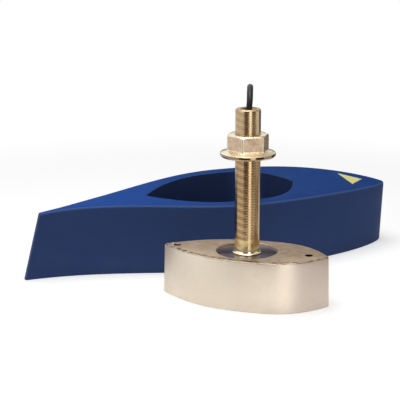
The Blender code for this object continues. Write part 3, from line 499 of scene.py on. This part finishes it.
def moulded_black(name="moulded_black", tone=0.022):
    """Hard black plastic of the plug, with a spark-eroded mould grain."""
    paint = Paint(name)
    grain = paint.cells(1600)
    cloud = paint.noise(90, 3, 0.6)
    colour = paint.mix(cloud, (tone, tone, tone * 1.1), (tone * 1.7, tone * 1.7, tone * 1.75))
    roughness = 0.40 + 0.15 * cloud
    return paint.finish(Base_Color=colour, Roughness=roughness, Normal=paint.bump(grain, 0.00006, 0.5))


def yellow_film():
    """The bow mark: pale yellow, a little worn along its edges."""
    paint = Paint("yellow_film")
    wear = paint.noise(160, 5, 0.7)
    colour = paint.mix(wear.between(0.45, 0.7), (0.88, 0.81, 0.25), (0.84, 0.82, 0.46))
    roughness = 0.42 + 0.2 * wear
    return paint.finish(Base_Color=colour, Roughness=roughness, Normal=paint.bump(wear, 0.00005, 0.4))


def woven_strap():
    """The coil's ties: a ribbed black weave."""
    paint = Paint("woven_strap", roughness=0.8)
    slant = paint.axis(2) * WEAVE_SLANT
    across = (paint.axis(0) * WEAVE_WAVE + slant).sine()
    along = (paint.axis(1) * WEAVE_WAVE - slant).sine()
    weave = across * along * 0.5 + 0.5
    fuzz = paint.noise(500, 4, 0.7)
    colour = paint.mix(weave * 0.6 + fuzz * 0.3, (0.012, 0.012, 0.013), (0.055, 0.055, 0.058))
    return paint.finish(Base_Color=colour, Normal=paint.bump(weave, 0.0002, 0.7))


def cast_urethane():
    """The acoustic face: black, satin, with faint casting swirls."""
    paint = Paint("cast_urethane")
    swirl = paint.noise(22, 5, 0.6)
    grain = paint.noise(800, 2, 0.5)
    colour = paint.mix(swirl.between(0.35, 0.7), (0.014, 0.014, 0.016), (0.032, 0.031, 0.032))
    roughness = 0.36 + 0.22 * swirl
    return paint.finish(Base_Color=colour, Roughness=roughness, Normal=paint.bump(grain, 0.00006, 0.4))


def speckled(name, dark, light, scale, roughness=0.5, metallic=0.0, depth=0.0001):
    """A finish of two tones in fine speckles, for what the housing and the plug hold."""
    paint = Paint(name, metallic=metallic)
    speck = paint.noise(scale, 4, 0.65)
    fine = paint.noise(scale * 6, 2, 0.5)
    colour = paint.mix(speck.between(0.35, 0.65), dark, light)
    rough = roughness + 0.12 * speck
    return paint.finish(Base_Color=colour, Roughness=rough, Normal=paint.bump(fine, depth, 0.4))


# Meshes


def add_object(name, data):
    obj = bpy.data.objects.new(name, data)
    bpy.context.scene.collection.objects.link(obj)
    return obj


def cover(obj, material):
    """Gives an object one material in place of any others."""
    obj.data.materials.clear()
    obj.data.materials.append(material)


def shade(mesh, sharp_angle=32):
    """Smooth faces, with a sharp edge wherever two of them turn by more than sharp_angle degrees."""
    mesh.shade_smooth()
    mesh.set_sharp_from_angle(angle=math.radians(sharp_angle))


def mesh_object(name, bm, sharp_angle=35):
    mesh = bpy.data.meshes.new(name)
    bmesh.ops.recalc_face_normals(bm, faces=bm.faces)
    bm.to_mesh(mesh)
    bm.free()
    shade(mesh, sharp_angle)
    return add_object(name, mesh)


def dress(obj, material, body="root", stands_for=()):
    """Gives a piece its material and its body, and hides the solids that it stands for."""
    cover(obj, material)
    if stands_for:
        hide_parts(*stands_for)
    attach(obj, body)
    return obj


def stitch(bm, rings, closed=False):
    """Quads between rings of as many vertices."""
    pairs = list(zip(rings, rings[1:])) + ([(rings[-1], rings[0])] if closed else [])
    for ring, following in pairs:
        for i in range(len(ring)):
            j = (i + 1) % len(ring)
            bm.faces.new((ring[i], following[i], following[j], ring[j]))


def cap(bm, rings):
    """Closes both ends of a row of rings."""
    bm.faces.new(rings[0])
    bm.faces.new(rings[-1])


def lathe(bm, profile, steps):
    """Rings round Z at each (radius, height)."""
    rings = []
    for radius, height in profile:
        turns = [2 * math.pi * i / steps for i in range(steps)]
        rings.append([bm.verts.new((radius * math.cos(a), radius * math.sin(a), height)) for a in turns])
    stitch(bm, rings)
    return rings


def disc_cutter(name, radius, low, high, x=0.0, y=0.0, steps=96, flare=0.0):
    """A round cutter, its top flared at 45 degrees where it leaves the face that it cuts."""
    bm = bmesh.new()
    profile = [(radius, low), (radius, high)]
    if flare:
        profile[1] = (radius, high - flare)
        profile += [(radius + flare, high), (radius + flare, high + CUT_PAST)]
    cap(bm, lathe(bm, profile, steps))
    bmesh.ops.translate(bm, verts=bm.verts, vec=(x, y, 0.0))
    return mesh_object(name, bm)


def outline_cutter(name, outline, low, high):
    """An upright cutter with the outline's shape."""
    bm = bmesh.new()
    rings = [[bm.verts.new((x, y, z)) for x, y in outline] for z in (low, high)]
    stitch(bm, rings)
    cap(bm, rings)
    return mesh_object(name, bm)


def carve(obj, cutters, join=()):
    """Cuts and joins with helpers, then keeps the result as the piece's own mesh."""
    for operation, tools in (("UNION", join), ("DIFFERENCE", cutters)):
        for tool in tools:
            modifier = obj.modifiers.new(tool.name, "BOOLEAN")
            modifier.operation = operation
            modifier.object = tool
            modifier.solver = "EXACT"
    bpy.context.view_layer.update()
    graph = bpy.context.evaluated_depsgraph_get()
    carved = bpy.data.meshes.new_from_object(obj.evaluated_get(graph), depsgraph=graph)
    obj.modifiers.clear()
    obj.data = carved
    for tool in (*cutters, *join):
        bpy.data.objects.remove(tool)
    return obj


def round_rim(obj, width, segments, chosen):
    """Rounds the edges that chosen(edge) picks."""
    bm = bmesh.new()
    bm.from_mesh(obj.data)
    bmesh.ops.remove_doubles(bm, verts=bm.verts, dist=0.00002)
    bmesh.ops.dissolve_degenerate(bm, edges=bm.edges, dist=0.00001)
    bm.normal_update()
    edges = [edge for edge in bm.edges if len(edge.link_faces) == 2 and chosen(edge)]
    bmesh.ops.bevel(
        bm, geom=edges, offset=width, offset_type="OFFSET", segments=segments, profile=0.5, affect="EDGES"
    )
    bm.to_mesh(obj.data)
    bm.free()
    shade(obj.data)
    return obj


def settle(obj, place, yaw=0.0):
    """Moves a piece's mesh to where it belongs, so that its object stays at the origin."""
    obj.data.transform(Matrix.Translation(place) @ Matrix.Rotation(yaw, 4, "Z"))
    return obj


def almond(inset=0.0, length=HOUSING_LENGTH, width=HOUSING_WIDTH, tip_edges=(0.0, 0.0), bow=BOW_FULLNESS):
    """The housing's pointed oval, moved inward by inset and its tips rounded, as (x, y) pairs."""
    steps = 72
    side = width / 2
    halves = ((1, length / 2 - ALMOND_WIDEST_X, bow), (-1, length / 2 + ALMOND_WIDEST_X, STERN_FULLNESS))
    tips, limits, rounds = [], [], []
    for (sign, reach, fullness), tip_edge in zip(halves, tip_edges):
        angle = math.atan(side * fullness / reach)
        tip = ALMOND_WIDEST_X + sign * (reach - inset / math.sin(angle))
        radius = tip_edge * math.tan(angle)
        centre = tip - sign * radius / math.sin(angle)
        turns = [(math.pi / 2 - angle) * (1 - i / 4) for i in range(9)] if tip_edge else [0.0]
        rounds.append([(centre + sign * radius * math.cos(a), radius * math.sin(a)) for a in turns])
        tips.append(tip)
        limits.append(sign * (1 - tip_edge * math.cos(angle) / reach))
    flank = []
    for i in range(1, steps):
        share = limits[1] + (limits[0] - limits[1]) * (1 + math.cos(math.pi * i / steps)) / 2
        sign, reach, fullness = halves[0 if share > 0 else 1]
        slope = -sign * side / reach * fullness * abs(share) ** (fullness - 1)
        normal = Vector((-slope, 1.0)).normalized()
        place = Vector((ALMOND_WIDEST_X + reach * share, side * (1 - abs(share) ** fullness)))
        point = place - normal * inset
        if tips[1] + 0.0002 < point.x < tips[0] - 0.0002 and point.y > 0.0002:
            flank.append((point.x, point.y))
    return [*rounds[0][::-1], *flank, *rounds[1], *[(x, -y) for x, y in reversed(flank)]]


# Housing


def build_housing(material):
    """The casting, with a rounded deck edge, a chamfered recess and holes for the pins."""
    bm = bmesh.new()
    foot_edge = 0.0006
    # Each level is (height, how far the outline lies outside its full size)
    levels = [(0.0, -foot_edge)]
    straight, rounded = 8, 6
    edge_low = HOUSING_HEIGHT - DECK_EDGE
    draft = HOUSING_DRAFT * edge_low / HOUSING_HEIGHT
    for i in range(straight + 1):
        z = foot_edge + (edge_low - foot_edge) * i / straight
        levels.append((z, -HOUSING_DRAFT * z / HOUSING_HEIGHT))
    for i in range(1, rounded + 1):
        turn = math.pi / 2 * i / rounded
        levels.append((edge_low + DECK_EDGE * math.sin(turn), -draft - DECK_EDGE * (1 - math.cos(turn))))
    rings = []
    for z, out in levels:
        outline = almond(0.0, HOUSING_LENGTH + 2 * out, HOUSING_WIDTH + 2 * out, (TIP_EDGE, TIP_EDGE))
        rings.append([bm.verts.new((x, y, z)) for x, y in outline])
    stitch(bm, rings)
    cap(bm, rings)
    housing = mesh_object("housing_casting", bm)
    underside = HOUSING_HEIGHT - DECK_THICKNESS
    boss_bottom = underside - BOSS_DEPTH
    recess_floor = HOUSING_HEIGHT - RECESS_DEPTH
    carve(housing, [outline_cutter("cavity", almond(HOUSING_WALL), -CUT_PAST, underside)])
    boss = disc_cutter("boss", BOSS_RADIUS, boss_bottom, underside + 0.002, STEM_AHEAD)
    above = HOUSING_HEIGHT + 0.0001
    chamfer = 0.0009
    cutters = [
        disc_cutter("recess", RECESS_RADIUS - chamfer, recess_floor, above, STEM_AHEAD, flare=chamfer),
        disc_cutter("stem_hole", STEM_RADIUS + FIT, boss_bottom - CUT_PAST, HOUSING_HEIGHT, STEM_AHEAD),
    ]
    for x in PIN_HOLE_PLACES:
        floor = HOUSING_HEIGHT - PIN_HOLE_DEPTH
        cutters.append(disc_cutter("pin_hole", PIN_HOLE_RADIUS, floor, above, x, steps=40, flare=0.0006))
    floor = HOUSING_HEIGHT - LOCATING_PIN_DEPTH
    hole_radius = LOCATING_PIN_RADIUS + FIT
    cutters.append(disc_cutter("locating_hole", hole_radius, floor, above, *LOCATING_PIN_PLACE, steps=24))
    carve(housing, cutters, join=[boss])
    shade(housing.data)
    settle(housing, HOUSING_PLACE, HOUSING_YAW)
    return dress(housing, material, stands_for=["insert_housing"])


def build_locating_pin(material):
    """The small dowel that stands near the stern tip, its top edge rounded."""
    top = HOUSING_HEIGHT + LOCATING_PIN_HEIGHT
    low = HOUSING_HEIGHT - LOCATING_PIN_DEPTH + FIT
    radius = LOCATING_PIN_RADIUS
    bm = bmesh.new()
    edge = [(radius, top - 0.0005), (radius - 0.00015, top - 0.00015), (radius - 0.0005, top)]
    cap(bm, lathe(bm, [(radius, low), *edge], 32))
    bmesh.ops.translate(bm, verts=bm.verts, vec=(*LOCATING_PIN_PLACE, 0.0))
    pin = settle(mesh_object("locating_dowel", bm), HOUSING_PLACE, HOUSING_YAW)
    return dress(pin, material, stands_for=["locating_pin"])


def thread_cut(turn, z):
    """How deep the thread is at an angle and a height: a rounded V with flat crests."""
    phase = (z - THREAD_PITCH * turn / (2 * math.pi)) / THREAD_PITCH % 1.0
    groove = max(0.0, 1 - abs(phase - 0.5) / GROOVE_HALF_WIDTH)
    depth = groove * groove * (3 - 2 * groove)
    fade = min(1.0, (z - THREAD_START) / THREAD_PITCH, (THREAD_END - z) / THREAD_PITCH)
    return THREAD_DEPTH * depth * max(0.0, fade)


def build_stem(material):
    """Plain collar with a flared foot, then the thread up to the chamfered top."""
    steps = 72
    seat = HOUSING_HEIGHT - RECESS_DEPTH + FIT
    boss_bottom = HOUSING_HEIGHT - DECK_THICKNESS - BOSS_DEPTH
    foot_side = 0.0008
    profile = [
        (STEM_BORE_RADIUS, boss_bottom),
        (STEM_RADIUS - 0.0002, boss_bottom),
        (STEM_RADIUS, boss_bottom + 0.0002),
        (STEM_RADIUS, seat),
        (STEM_FOOT_RADIUS - 0.0002, seat),
        (STEM_FOOT_RADIUS, seat + 0.0003),
        (STEM_FOOT_RADIUS, seat + foot_side),
    ]
    for i in range(1, 6):
        turn = math.pi / 2 * i / 5
        radius = STEM_RADIUS + (STEM_FOOT_RADIUS - STEM_RADIUS) * (1 - math.sin(turn))
        height = seat + STEM_FOOT_HEIGHT + (foot_side - STEM_FOOT_HEIGHT) * math.cos(turn)
        profile.append((radius, height))
    rows_per_pitch = 9
    rows = math.ceil((THREAD_END - THREAD_START) / THREAD_PITCH * rows_per_pitch)
    profile += [(STEM_RADIUS, THREAD_START + (THREAD_END - THREAD_START) * i / rows) for i in range(rows + 1)]
    profile += [
        (STEM_RADIUS, STEM_TOP - STEM_CHAMFER),
        (STEM_RADIUS - STEM_CHAMFER, STEM_TOP),
        (STEM_BORE_RADIUS + STEM_CHAMFER, STEM_TOP),
        (STEM_BORE_RADIUS, STEM_TOP - STEM_CHAMFER),
    ]
    bm = bmesh.new()
    rings = []
    for radius, z in profile:
        ring = []
        for i in range(steps):
            turn = 2 * math.pi * i / steps
            cut = thread_cut(turn, z) if radius == STEM_RADIUS and THREAD_START <= z <= THREAD_END else 0.0
            ring.append(bm.verts.new(((radius - cut) * math.cos(turn), (radius - cut) * math.sin(turn), z)))
        rings.append(ring)
    stitch(bm, rings, closed=True)
    return dress(mesh_object("stem_thread", bm, 50), material, stands_for=["stem"])


def hexagon_radius(turn):
    """Distance to the nut's side in a direction, its corners eased."""
    from_flat = (turn + math.pi / 6) % (math.pi / 3) - math.pi / 6
    flat = NUT_HEX_WIDTH / 2 / math.cos(from_flat)
    return min(flat, NUT_HEX_WIDTH / math.sqrt(3) - 0.0005 + 0.004 * (math.pi / 6 - abs(from_flat)))


def build_nut(material):
    """Hexagon with turned-off corners on a flange with an upright rim, and a bevelled bore."""
    steps = 240
    bore = STEM_RADIUS + FIT
    chamfer_radius = NUT_HEX_WIDTH / 2 - 0.0004
    spread = math.tan(math.radians(30))
    root_radius = NUT_HEX_WIDTH / 2 + 0.002
    bore_edge = 0.0010
    fillet = 0.0012
    rim_radius = FLANGE_RADIUS - 0.00005
    crown = FLANGE_CROWN - 0.0012
    fall = (crown - FLANGE_RIM) / (root_radius - (FLANGE_RADIUS - 0.0006))
    columns = []
    for i in range(steps):
        turn = 2 * math.pi * i / steps
        hexagon = hexagon_radius(turn)
        shoulder = NUT_HEIGHT - max(0.0002, (hexagon - chamfer_radius) * spread)
        outer = max(hexagon + fillet, root_radius)
        foot = crown + fall * (outer - root_radius)
        column = [
            (bore, bore_edge),
            (bore, NUT_HEIGHT - bore_edge),
            (bore + bore_edge, NUT_HEIGHT),
            (chamfer_radius - 0.0002, NUT_HEIGHT),
            (chamfer_radius + 0.0001, NUT_HEIGHT - 0.0001),
            (hexagon - 0.0003, shoulder + 0.00012),
            (hexagon, shoulder - 0.0003),
            (hexagon, foot + 0.0014),
            (hexagon + 0.0003, foot + 0.0005),
            (hexagon + fillet, foot),
        ]
        for share in (0.35, 0.7, 1.0):
            radius = outer + (FLANGE_RADIUS - 0.0008 - outer) * share
            column.append((radius, foot + (FLANGE_RIM - foot) * share))
        column += [
            (FLANGE_RADIUS - 0.0003, FLANGE_RIM - 0.0002),
            (rim_radius, FLANGE_RIM - 0.0005),
            (rim_radius, FLANGE_RIM - 0.0007),
            (rim_radius, FLANGE_CHAMFER + 0.0005),
            (rim_radius, FLANGE_CHAMFER + 0.0003),
            (FLANGE_RADIUS - 0.0003, FLANGE_CHAMFER - 0.0002),
            (FLANGE_RADIUS - FLANGE_CHAMFER + 0.0003, 0.0003),
            (FLANGE_RADIUS - FLANGE_CHAMFER - 0.0002, 0.0),
            (bore + bore_edge, 0.0),
        ]
        columns.append([(r * math.cos(turn), r * math.sin(turn), z) for r, z in column])
    bm = bmesh.new()
    rings = [[bm.verts.new(columns[i][k]) for i in range(steps)] for k in range(len(columns[0]))]
    stitch(bm, rings, closed=True)
    nut = settle(mesh_object("nut_forging", bm, 28), (0.0, 0.0, NUT_SEAT_Z), NUT_TURN)
    return dress(nut, material, stands_for=["hull_nut"])


# Cable


def smooth_route(points, spacing):
    """Points at an even spacing along a smooth curve through the route's own points."""
    points = [Vector(point) for point in points]
    ends = [2 * points[0] - points[1], *points, 2 * points[-1] - points[-2]]
    fine = []
    steps = 12
    for before, start, end, after in zip(ends, ends[1:], ends[2:], ends[3:]):
        for step in range(steps):
            u = step / steps
            straight = 2 * start + (end - before) * u
            square = (2 * before - 5 * start + 4 * end - after) * u**2
            cube = (3 * start - before - 3 * end + after) * u**3
            fine.append(0.5 * (straight + square + cube))
    fine.append(points[-1])
    even = [fine[0]]
    for point in fine[1:-1]:
        if (point - even[-1]).length >= spacing:
            even.append(point)
    return [*even, fine[-1]]


def coil_turns():
    """The coil's path: inward on one level, up, outward on the next, with short crossings."""
    outer = COIL_COLUMNS - 1
    crossings = []
    for first, span, across in COIL_LAYERS:
        crossings += [(first + 360 * turn, span, across, 0) for turn in range(outer)]
        crossings.append((first + 360 * outer - span, span, 0, 1))
    crossings.pop()
    last = crossings[-1][0] + crossings[-1][1] + COIL_RUN_OUT
    points = []
    step = 10
    for angle in range(0, last + 1, step):
        column, level = float(outer), 0.0
        for first, span, across, up in crossings:
            share = min(1.0, max(0.0, (angle - first) / span))
            share = share * share * (3 - 2 * share)
            column += across * share
            level += up * share
        radius = COIL_MEAN_RADIUS + (column - outer / 2) * COIL_PITCH
        height = COIL_FLOOR_GAP + CABLE_RADIUS + level * COIL_PITCH
        turn = math.radians(angle)
        x = COIL_CENTRE[0] + radius * math.cos(turn)
        y = COIL_CENTRE[1] + radius * math.sin(turn)
        points.append(Vector((x, y, height)))
    return points


def build_cable(material):
    """The whole cable as one curve: from the stem, through the coil, to the plug."""
    route = smooth_route(CABLE_ROUTE, 0.006)
    turns = coil_turns()
    join_in = smooth_route([route[-2], route[-1], (route[-1] + turns[0]) / 2, turns[0], turns[1]], 0.008)
    halfway = (turns[-1] + Vector(TAIL_ROUTE[0])) / 2 + Vector((0, 0, 0.0008))
    lead_out = smooth_route([turns[-2], turns[-1], halfway, *TAIL_ROUTE], 0.006)
    points = [*route[:-1], *[p for p in join_in if route[-1].y <= p.y < turns[0].y - 0.003], *turns]
    points += [p for p in lead_out if p.y < turns[-1].y - 0.004]
    curve = bpy.data.curves.new("cable_run", "CURVE")
    curve.dimensions = "3D"
    curve.bevel_depth = CABLE_RADIUS
    curve.bevel_resolution = 3
    curve.use_fill_caps = True
    spline = curve.splines.new("POLY")
    spline.points.add(len(points) - 1)
    for spline_point, point in zip(spline.points, points):
        spline_point.co = (*point, 1.0)
    cable = add_object("cable_run", curve)
    dress(cable, material, stands_for=["cable", "cable_coil", "cable_tail"])
    length = sum((b - a).length for a, b in zip(points, points[1:]))
    with_pieces = ["coil_tie_1", "coil_tie_2", "plug_boot", "plug_body", "plug_ring", "plug_insert"]
    with_pieces += [f"plug_pin_{number}" for number in range(1, 6)]
    return cable


# Fairing


def fairing_half_width(s):
    """Hollow flanks to the thin tail, full flanks to the nose."""
    half, tail, nose = FAIRING_WIDTH / 2, TAIL_WIDTH / 2, NOSE_WIDTH / 2
    if s < FAIRING_WIDEST_S:
        share = (s / FAIRING_WIDEST_S) ** FLANK_HOLLOW
        return tail + (half - tail) * (1 - math.cos(math.pi * share)) / 2
    share = (s - FAIRING_WIDEST_S) / (FAIRING_LENGTH - FAIRING_WIDEST_S)
    return nose + (half - nose) * (1 - share**NOSE_FULLNESS) ** NOSE_ROUNDNESS


def fairing_top(s, t):
    """Height of the top face, which slopes across and falls away to the tail and the nose."""
    if s < FAIRING_WIDEST_S:
        drop = TAIL_DROP * (1 - s / FAIRING_WIDEST_S) ** TAIL_DROP_CURVE
    else:
        share = (s - FAIRING_WIDEST_S) / (FAIRING_LENGTH - FAIRING_WIDEST_S)
        drop = NOSE_DROP * share**NOSE_DROP_CURVE
    return FAIRING_HEIGHT - drop + FAIRING_CROSS_SLOPE * t


def fairing_lean(s, z):
    """How far the raked tail and nose move a point at height z along the fairing."""
    tail = TAIL_RAKE * max(0.0, 1 - s / TAIL_RAKE_LENGTH) ** 2
    nose = NOSE_RAKE * max(0.0, 1 - (FAIRING_LENGTH - s) / NOSE_RAKE_LENGTH) ** 2
    return (tail + nose) * z / FAIRING_HEIGHT


def fairing_section(s):
    """The outline across the fairing at s, from the foot round both top edges, finer than the solid's."""
    half = fairing_half_width(s)
    foot = min(FAIRING_FOOT_CHAMFER, 0.3 * half)
    edge = min(FAIRING_EDGE, 0.6 * half)
    arc = [math.radians(90 * step / 7) for step in range(8)]
    outline = [(foot - half, 0.0), (half - foot, 0.0), (half, foot)]
    top = fairing_top(s, half) - edge
    outline += [(half, foot + (top - foot) * share) for share in (0.25, 0.5, 0.75)]
    for side, angles in ((1, arc), (-1, arc[::-1])):
        for angle in angles:
            t = side * (half - edge + edge * math.cos(angle))
            outline.append((t, fairing_top(s, t) - edge + edge * math.sin(angle)))
        if side == 1:
            inner = half - edge
            middle = [share * inner for share in (0.6, 0.2, -0.2, -0.6)]
            outline += [(t, fairing_top(s, t)) for t in middle]
    top = fairing_top(s, -half) - edge
    outline += [(-half, foot + (top - foot) * share) for share in (0.75, 0.5, 0.25)]
    outline.append((-half, foot))
    return outline


def build_fairing(material):
    """The lofted block, its almond pocket and the hole for the stem, with eased rims."""
    ahead = FAIRING_LENGTH - FAIRING_WIDEST_S
    tail_steps, nose_steps = 56, 48
    stations = [FAIRING_WIDEST_S * step / tail_steps for step in range(tail_steps)]
    turns = [math.pi / 2 * step / nose_steps for step in range(nose_steps + 1)]
    stations += [FAIRING_WIDEST_S + ahead * math.sin(turn) for turn in turns]
    bm = bmesh.new()
    rings = []
    for s in stations:
        rings.append([bm.verts.new((s + fairing_lean(s, z), t, z)) for t, z in fairing_section(s)])
    stitch(bm, rings)
    cap(bm, rings)
    fairing = mesh_object("fairing_moulding", bm)
    rim = almond(-POCKET_CLEARANCE, tip_edges=(0.006, 0.0), bow=POCKET_BOW_FULLNESS)
    pocket = outline_cutter("pocket", rim, POCKET_FLOOR, 0.2)
    settle(pocket, (POCKET_S, 0.0, 0.0))
    stem_s = POCKET_S + STEM_AHEAD
    stem_way = disc_cutter("stem_way", STEM_HOLE_RADIUS, -CUT_PAST, 0.1, stem_s)
    pin_floor = POCKET_FLOOR - LOCATING_PIN_HEIGHT - POCKET_CLEARANCE
    pin_radius = LOCATING_PIN_RADIUS + POCKET_CLEARANCE / 2
    pin_x, pin_y = POCKET_S + LOCATING_PIN_PLACE[0], -LOCATING_PIN_PLACE[1]
    pin_way = disc_cutter("pin_way", pin_radius, pin_floor, 0.1, pin_x, pin_y, steps=24)
    carve(fairing, [pocket, stem_way, pin_way])

    def on_rim(edge):
        """Where the pocket's or the hole's wall meets a face that looks up."""
        up = sorted(face.normal.z for face in edge.link_faces)
        middle = (edge.verts[0].co + edge.verts[1].co) / 2
        inside = abs(middle.y) < fairing_half_width(min(middle.x, FAIRING_LENGTH)) - FAIRING_EDGE
        at_top = middle.z > 0.08 or abs(middle.z - POCKET_FLOOR) < 0.0001 and (
            (middle.x - stem_s) ** 2 + middle.y**2 < (STEM_HOLE_RADIUS + 0.001) ** 2
        )
        return inside and at_top and abs(up[0]) < 0.3 and up[1] > 0.9

    round_rim(fairing, 0.0009, 3, on_rim)
    settle(fairing, (*FAIRING_PLACE, 0.0), FAIRING_YAW)
    return dress(fairing, material, stands_for=["fairing"])


# Studio


def build_camera():
    """The photograph's view: 14 degrees down, square to the set."""
    data = bpy.data.cameras.new("camera")
    data.sensor_width = 36.0
    data.lens = CAMERA_LENS
    data.clip_end = 60.0
    camera = add_object("camera", data)
    camera.location = CAMERA_PLACE
    camera.rotation_euler = (CAMERA_PITCH, 0.0, 0.0)
    bpy.context.scene.camera = camera


def soft_lamp(name, place, aim, size, power, glossy_only=False):
    """A rectangular lamp at place that looks at aim."""
    data = bpy.data.lights.new(name, "AREA")
    data.shape = "RECTANGLE"
    data.size, data.size_y = size
    data.energy = power
    lamp = add_object(name, data)
    lamp.location = place
    lamp.rotation_euler = (Vector(aim) - Vector(place)).to_track_quat("-Z", "Y").to_euler()
    lamp.visible_diffuse = not glossy_only


def seen_directly(paint):
    """1 where a camera, mirror or glass ray looks, and 0 for the light that falls on things."""
    path = paint.node("LightPath")
    rays = path.socket.node.outputs
    total = Signal(paint, rays["Is Camera Ray"]) + Signal(paint, rays["Is Glossy Ray"])
    total = total + Signal(paint, rays["Is Transmission Ray"])
    return paint.node("Clamp", {}, {0: total})


def build_floor():
    """A pale floor that clips to white where it is lit and keeps the object's shadow."""
    bm = bmesh.new()
    corners = ((-3.0, -0.36), (3.0, -0.36), (3.0, 6.0), (-3.0, 6.0))
    bm.faces.new([bm.verts.new((x, y, 0.0)) for x, y in corners])
    floor = mesh_object("studio_floor", bm)
    paint = Paint("studio_paper", roughness=0.9)
    paint.finish(Base_Color=(0.80, 0.80, 0.80), Specular_IOR_Level=0.0)
    paper = Signal(paint, paint.shader.outputs[0])
    lit = paint.node("Emission", {}, {"Color": (1.0, 1.0, 1.0), "Strength": FLOOR_GLOW})
    glow = paint.node("AddShader", {}, {0: paper, 1: lit})
    white = paint.node("Emission", {}, {"Color": (1.0, 1.0, 1.0), "Strength": 1.0})
    far = paint.apart((-0.05, 0.15, 0.0)).between(0.55, 1.0)
    glow = paint.node("MixShader", {}, {0: far, 1: glow, 2: white})
    both = paint.node("MixShader", {}, {0: seen_directly(paint), 1: paper, 2: glow})
    paint.feed(paint.tree.nodes["Material Output"].inputs["Surface"], both)
    cover(floor, paint.material)


def mirror_card(name, rows, tone):
    """A card of one tone between two rows of places. Only mirrors see it."""
    bm = bmesh.new()
    low, high = [[bm.verts.new(place) for place in row] for row in rows]
    for i in range(len(low) - 1):
        bm.faces.new((low[i], low[i + 1], high[i + 1], high[i]))
    card = mesh_object(name, bm)
    paint = Paint(name, roughness=1.0)
    paint.finish(
        Base_Color=(0.02, 0.02, 0.02), Emission_Color=tone, Emission_Strength=1.0, Specular_IOR_Level=0.0
    )
    cover(card, paint.material)
    for rays in ("camera", "diffuse", "shadow", "transmission"):
        setattr(card, "visible_" + rays, False)


def arc(radius, first, last, height):
    """Places round the stem between two bearings in degrees, counted to the right from the camera."""
    turns = [math.radians(first + (last - first) * i / 12) for i in range(13)]
    return [(radius * math.sin(turn), -radius * math.cos(turn), height) for turn in turns]


def build_cards():
    """What the bronze mirrors: dark bands in front, half tones at the right, and a calm deck."""
    mirror_card("front_card", (arc(1.15, -38, 71, -0.5), arc(1.15, -38, 71, 1.1)), (0.12, 0.085, 0.06))
    mirror_card("right_card", (arc(0.32, 66, 114, 0.0), arc(0.32, 66, 114, 0.115)), (0.33, 0.27, 0.23))
    mirror_card("floor_card", (arc(0.09, -26, 38, 0.0006), arc(0.27, -26, 38, 0.0006)), (1.30, 1.27, 1.25))
    upper = (((0.75, -0.1, 0.35), (0.25, 0.85, 0.40)), ((0.6, -0.1, 0.9), (0.15, 0.6, 0.95)))
    mirror_card("upper_card", upper, (0.50, 0.43, 0.35))
    behind = ((-0.28, 0.74), (0.32, 0.78), (0.62, 0.52), (0.73, 0.27))
    mirror_card("back_card", [[(x, y, z) for x, y in behind] for z in (0.0, 0.33)], (0.06, 0.055, 0.07))


def build_world():
    """White to the camera and to mirrors, and dim for the light that falls on things."""
    world = bpy.data.worlds.new("studio")
    world.use_nodes = True
    bpy.context.scene.world = world
    nodes, links = world.node_tree.nodes, world.node_tree.links
    background = nodes["Background"]
    background.inputs["Color"].default_value = (1.0, 1.0, 1.0, 1.0)
    path = nodes.new("ShaderNodeLightPath")
    total = path.outputs["Is Camera Ray"]
    for name in ("Is Glossy Ray", "Is Transmission Ray"):
        join = nodes.new("ShaderNodeMath")
        join.operation = "MAXIMUM"
        links.new(total, join.inputs[0])
        links.new(path.outputs[name], join.inputs[1])
        total = join.outputs[0]
    strength = nodes.new("ShaderNodeMapRange")
    strength.inputs["To Min"].default_value = WORLD_FILL
    strength.inputs["To Max"].default_value = 1.0
    links.new(total, strength.inputs["Value"])
    links.new(strength.outputs[0], background.inputs["Strength"])


def build_studio():
    build_world()
    build_floor()
    build_cards()
    soft_lamp("overhead", (-0.15, 0.05, 1.7), (-0.05, 0.12, 0.0), (1.5, 1.1), 20.0)
    soft_lamp("strip", (0.310, -0.89, 0.0), (0.0, 0.0, 0.15), (0.36, 1.6), 3.9, glossy_only=True)
    soft_lamp("left_fill", (-1.3, -0.7, 0.8), (0.0, 0.0, 0.08), (0.7, 0.9), 1.2)


def main():
    build_camera()
    build_cable(cable_rubber())
    build_housing(blasted_bronze())
    build_stem(threaded_bronze())
    build_nut(nut_bronze())
    # Painted highlight: the pin is near white so that it reads as a glint.
    build_locating_pin(speckled("pin_bronze_painted_glint", (0.92, 0.88, 0.80), (0.98, 0.96, 0.90), 600, 0.25))
    build_fairing(moulded_blue())

    strap = woven_strap()
    ceramic = speckled("fired_ceramic", (0.62, 0.59, 0.50), (0.76, 0.73, 0.66), 300, 0.5)
    gilt = speckled("gilt", (0.72, 0.52, 0.18), (0.85, 0.68, 0.32), 500, 0.2, 1.0)
    finishes = {
        "acoustic_window": cast_urethane(),
        "bow_arrow": yellow_film(),
        "cable_seal": cable_rubber("seal_rubber", 0.02),
        "coil_tie_1": strap,
        "coil_tie_2": strap,
        "plug_body": moulded_black(),
        "plug_boot": cable_rubber("boot_rubber", 0.019),
        "plug_insert": moulded_black("insert_black", 0.035),
        "plug_ring": moulded_black("ring_black", 0.028),
    }
    finishes.update({name: speckled(*values) for name, values in SPECKLED.items()})
    finishes.update({name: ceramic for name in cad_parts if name.startswith("ceramic")})
    finishes.update({name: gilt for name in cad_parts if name.startswith("plug_pin")})
    for name, material in finishes.items():
        cover(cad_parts[name], material)
    build_studio()
    bpy.context.scene.view_settings.view_transform = "Standard"


main()
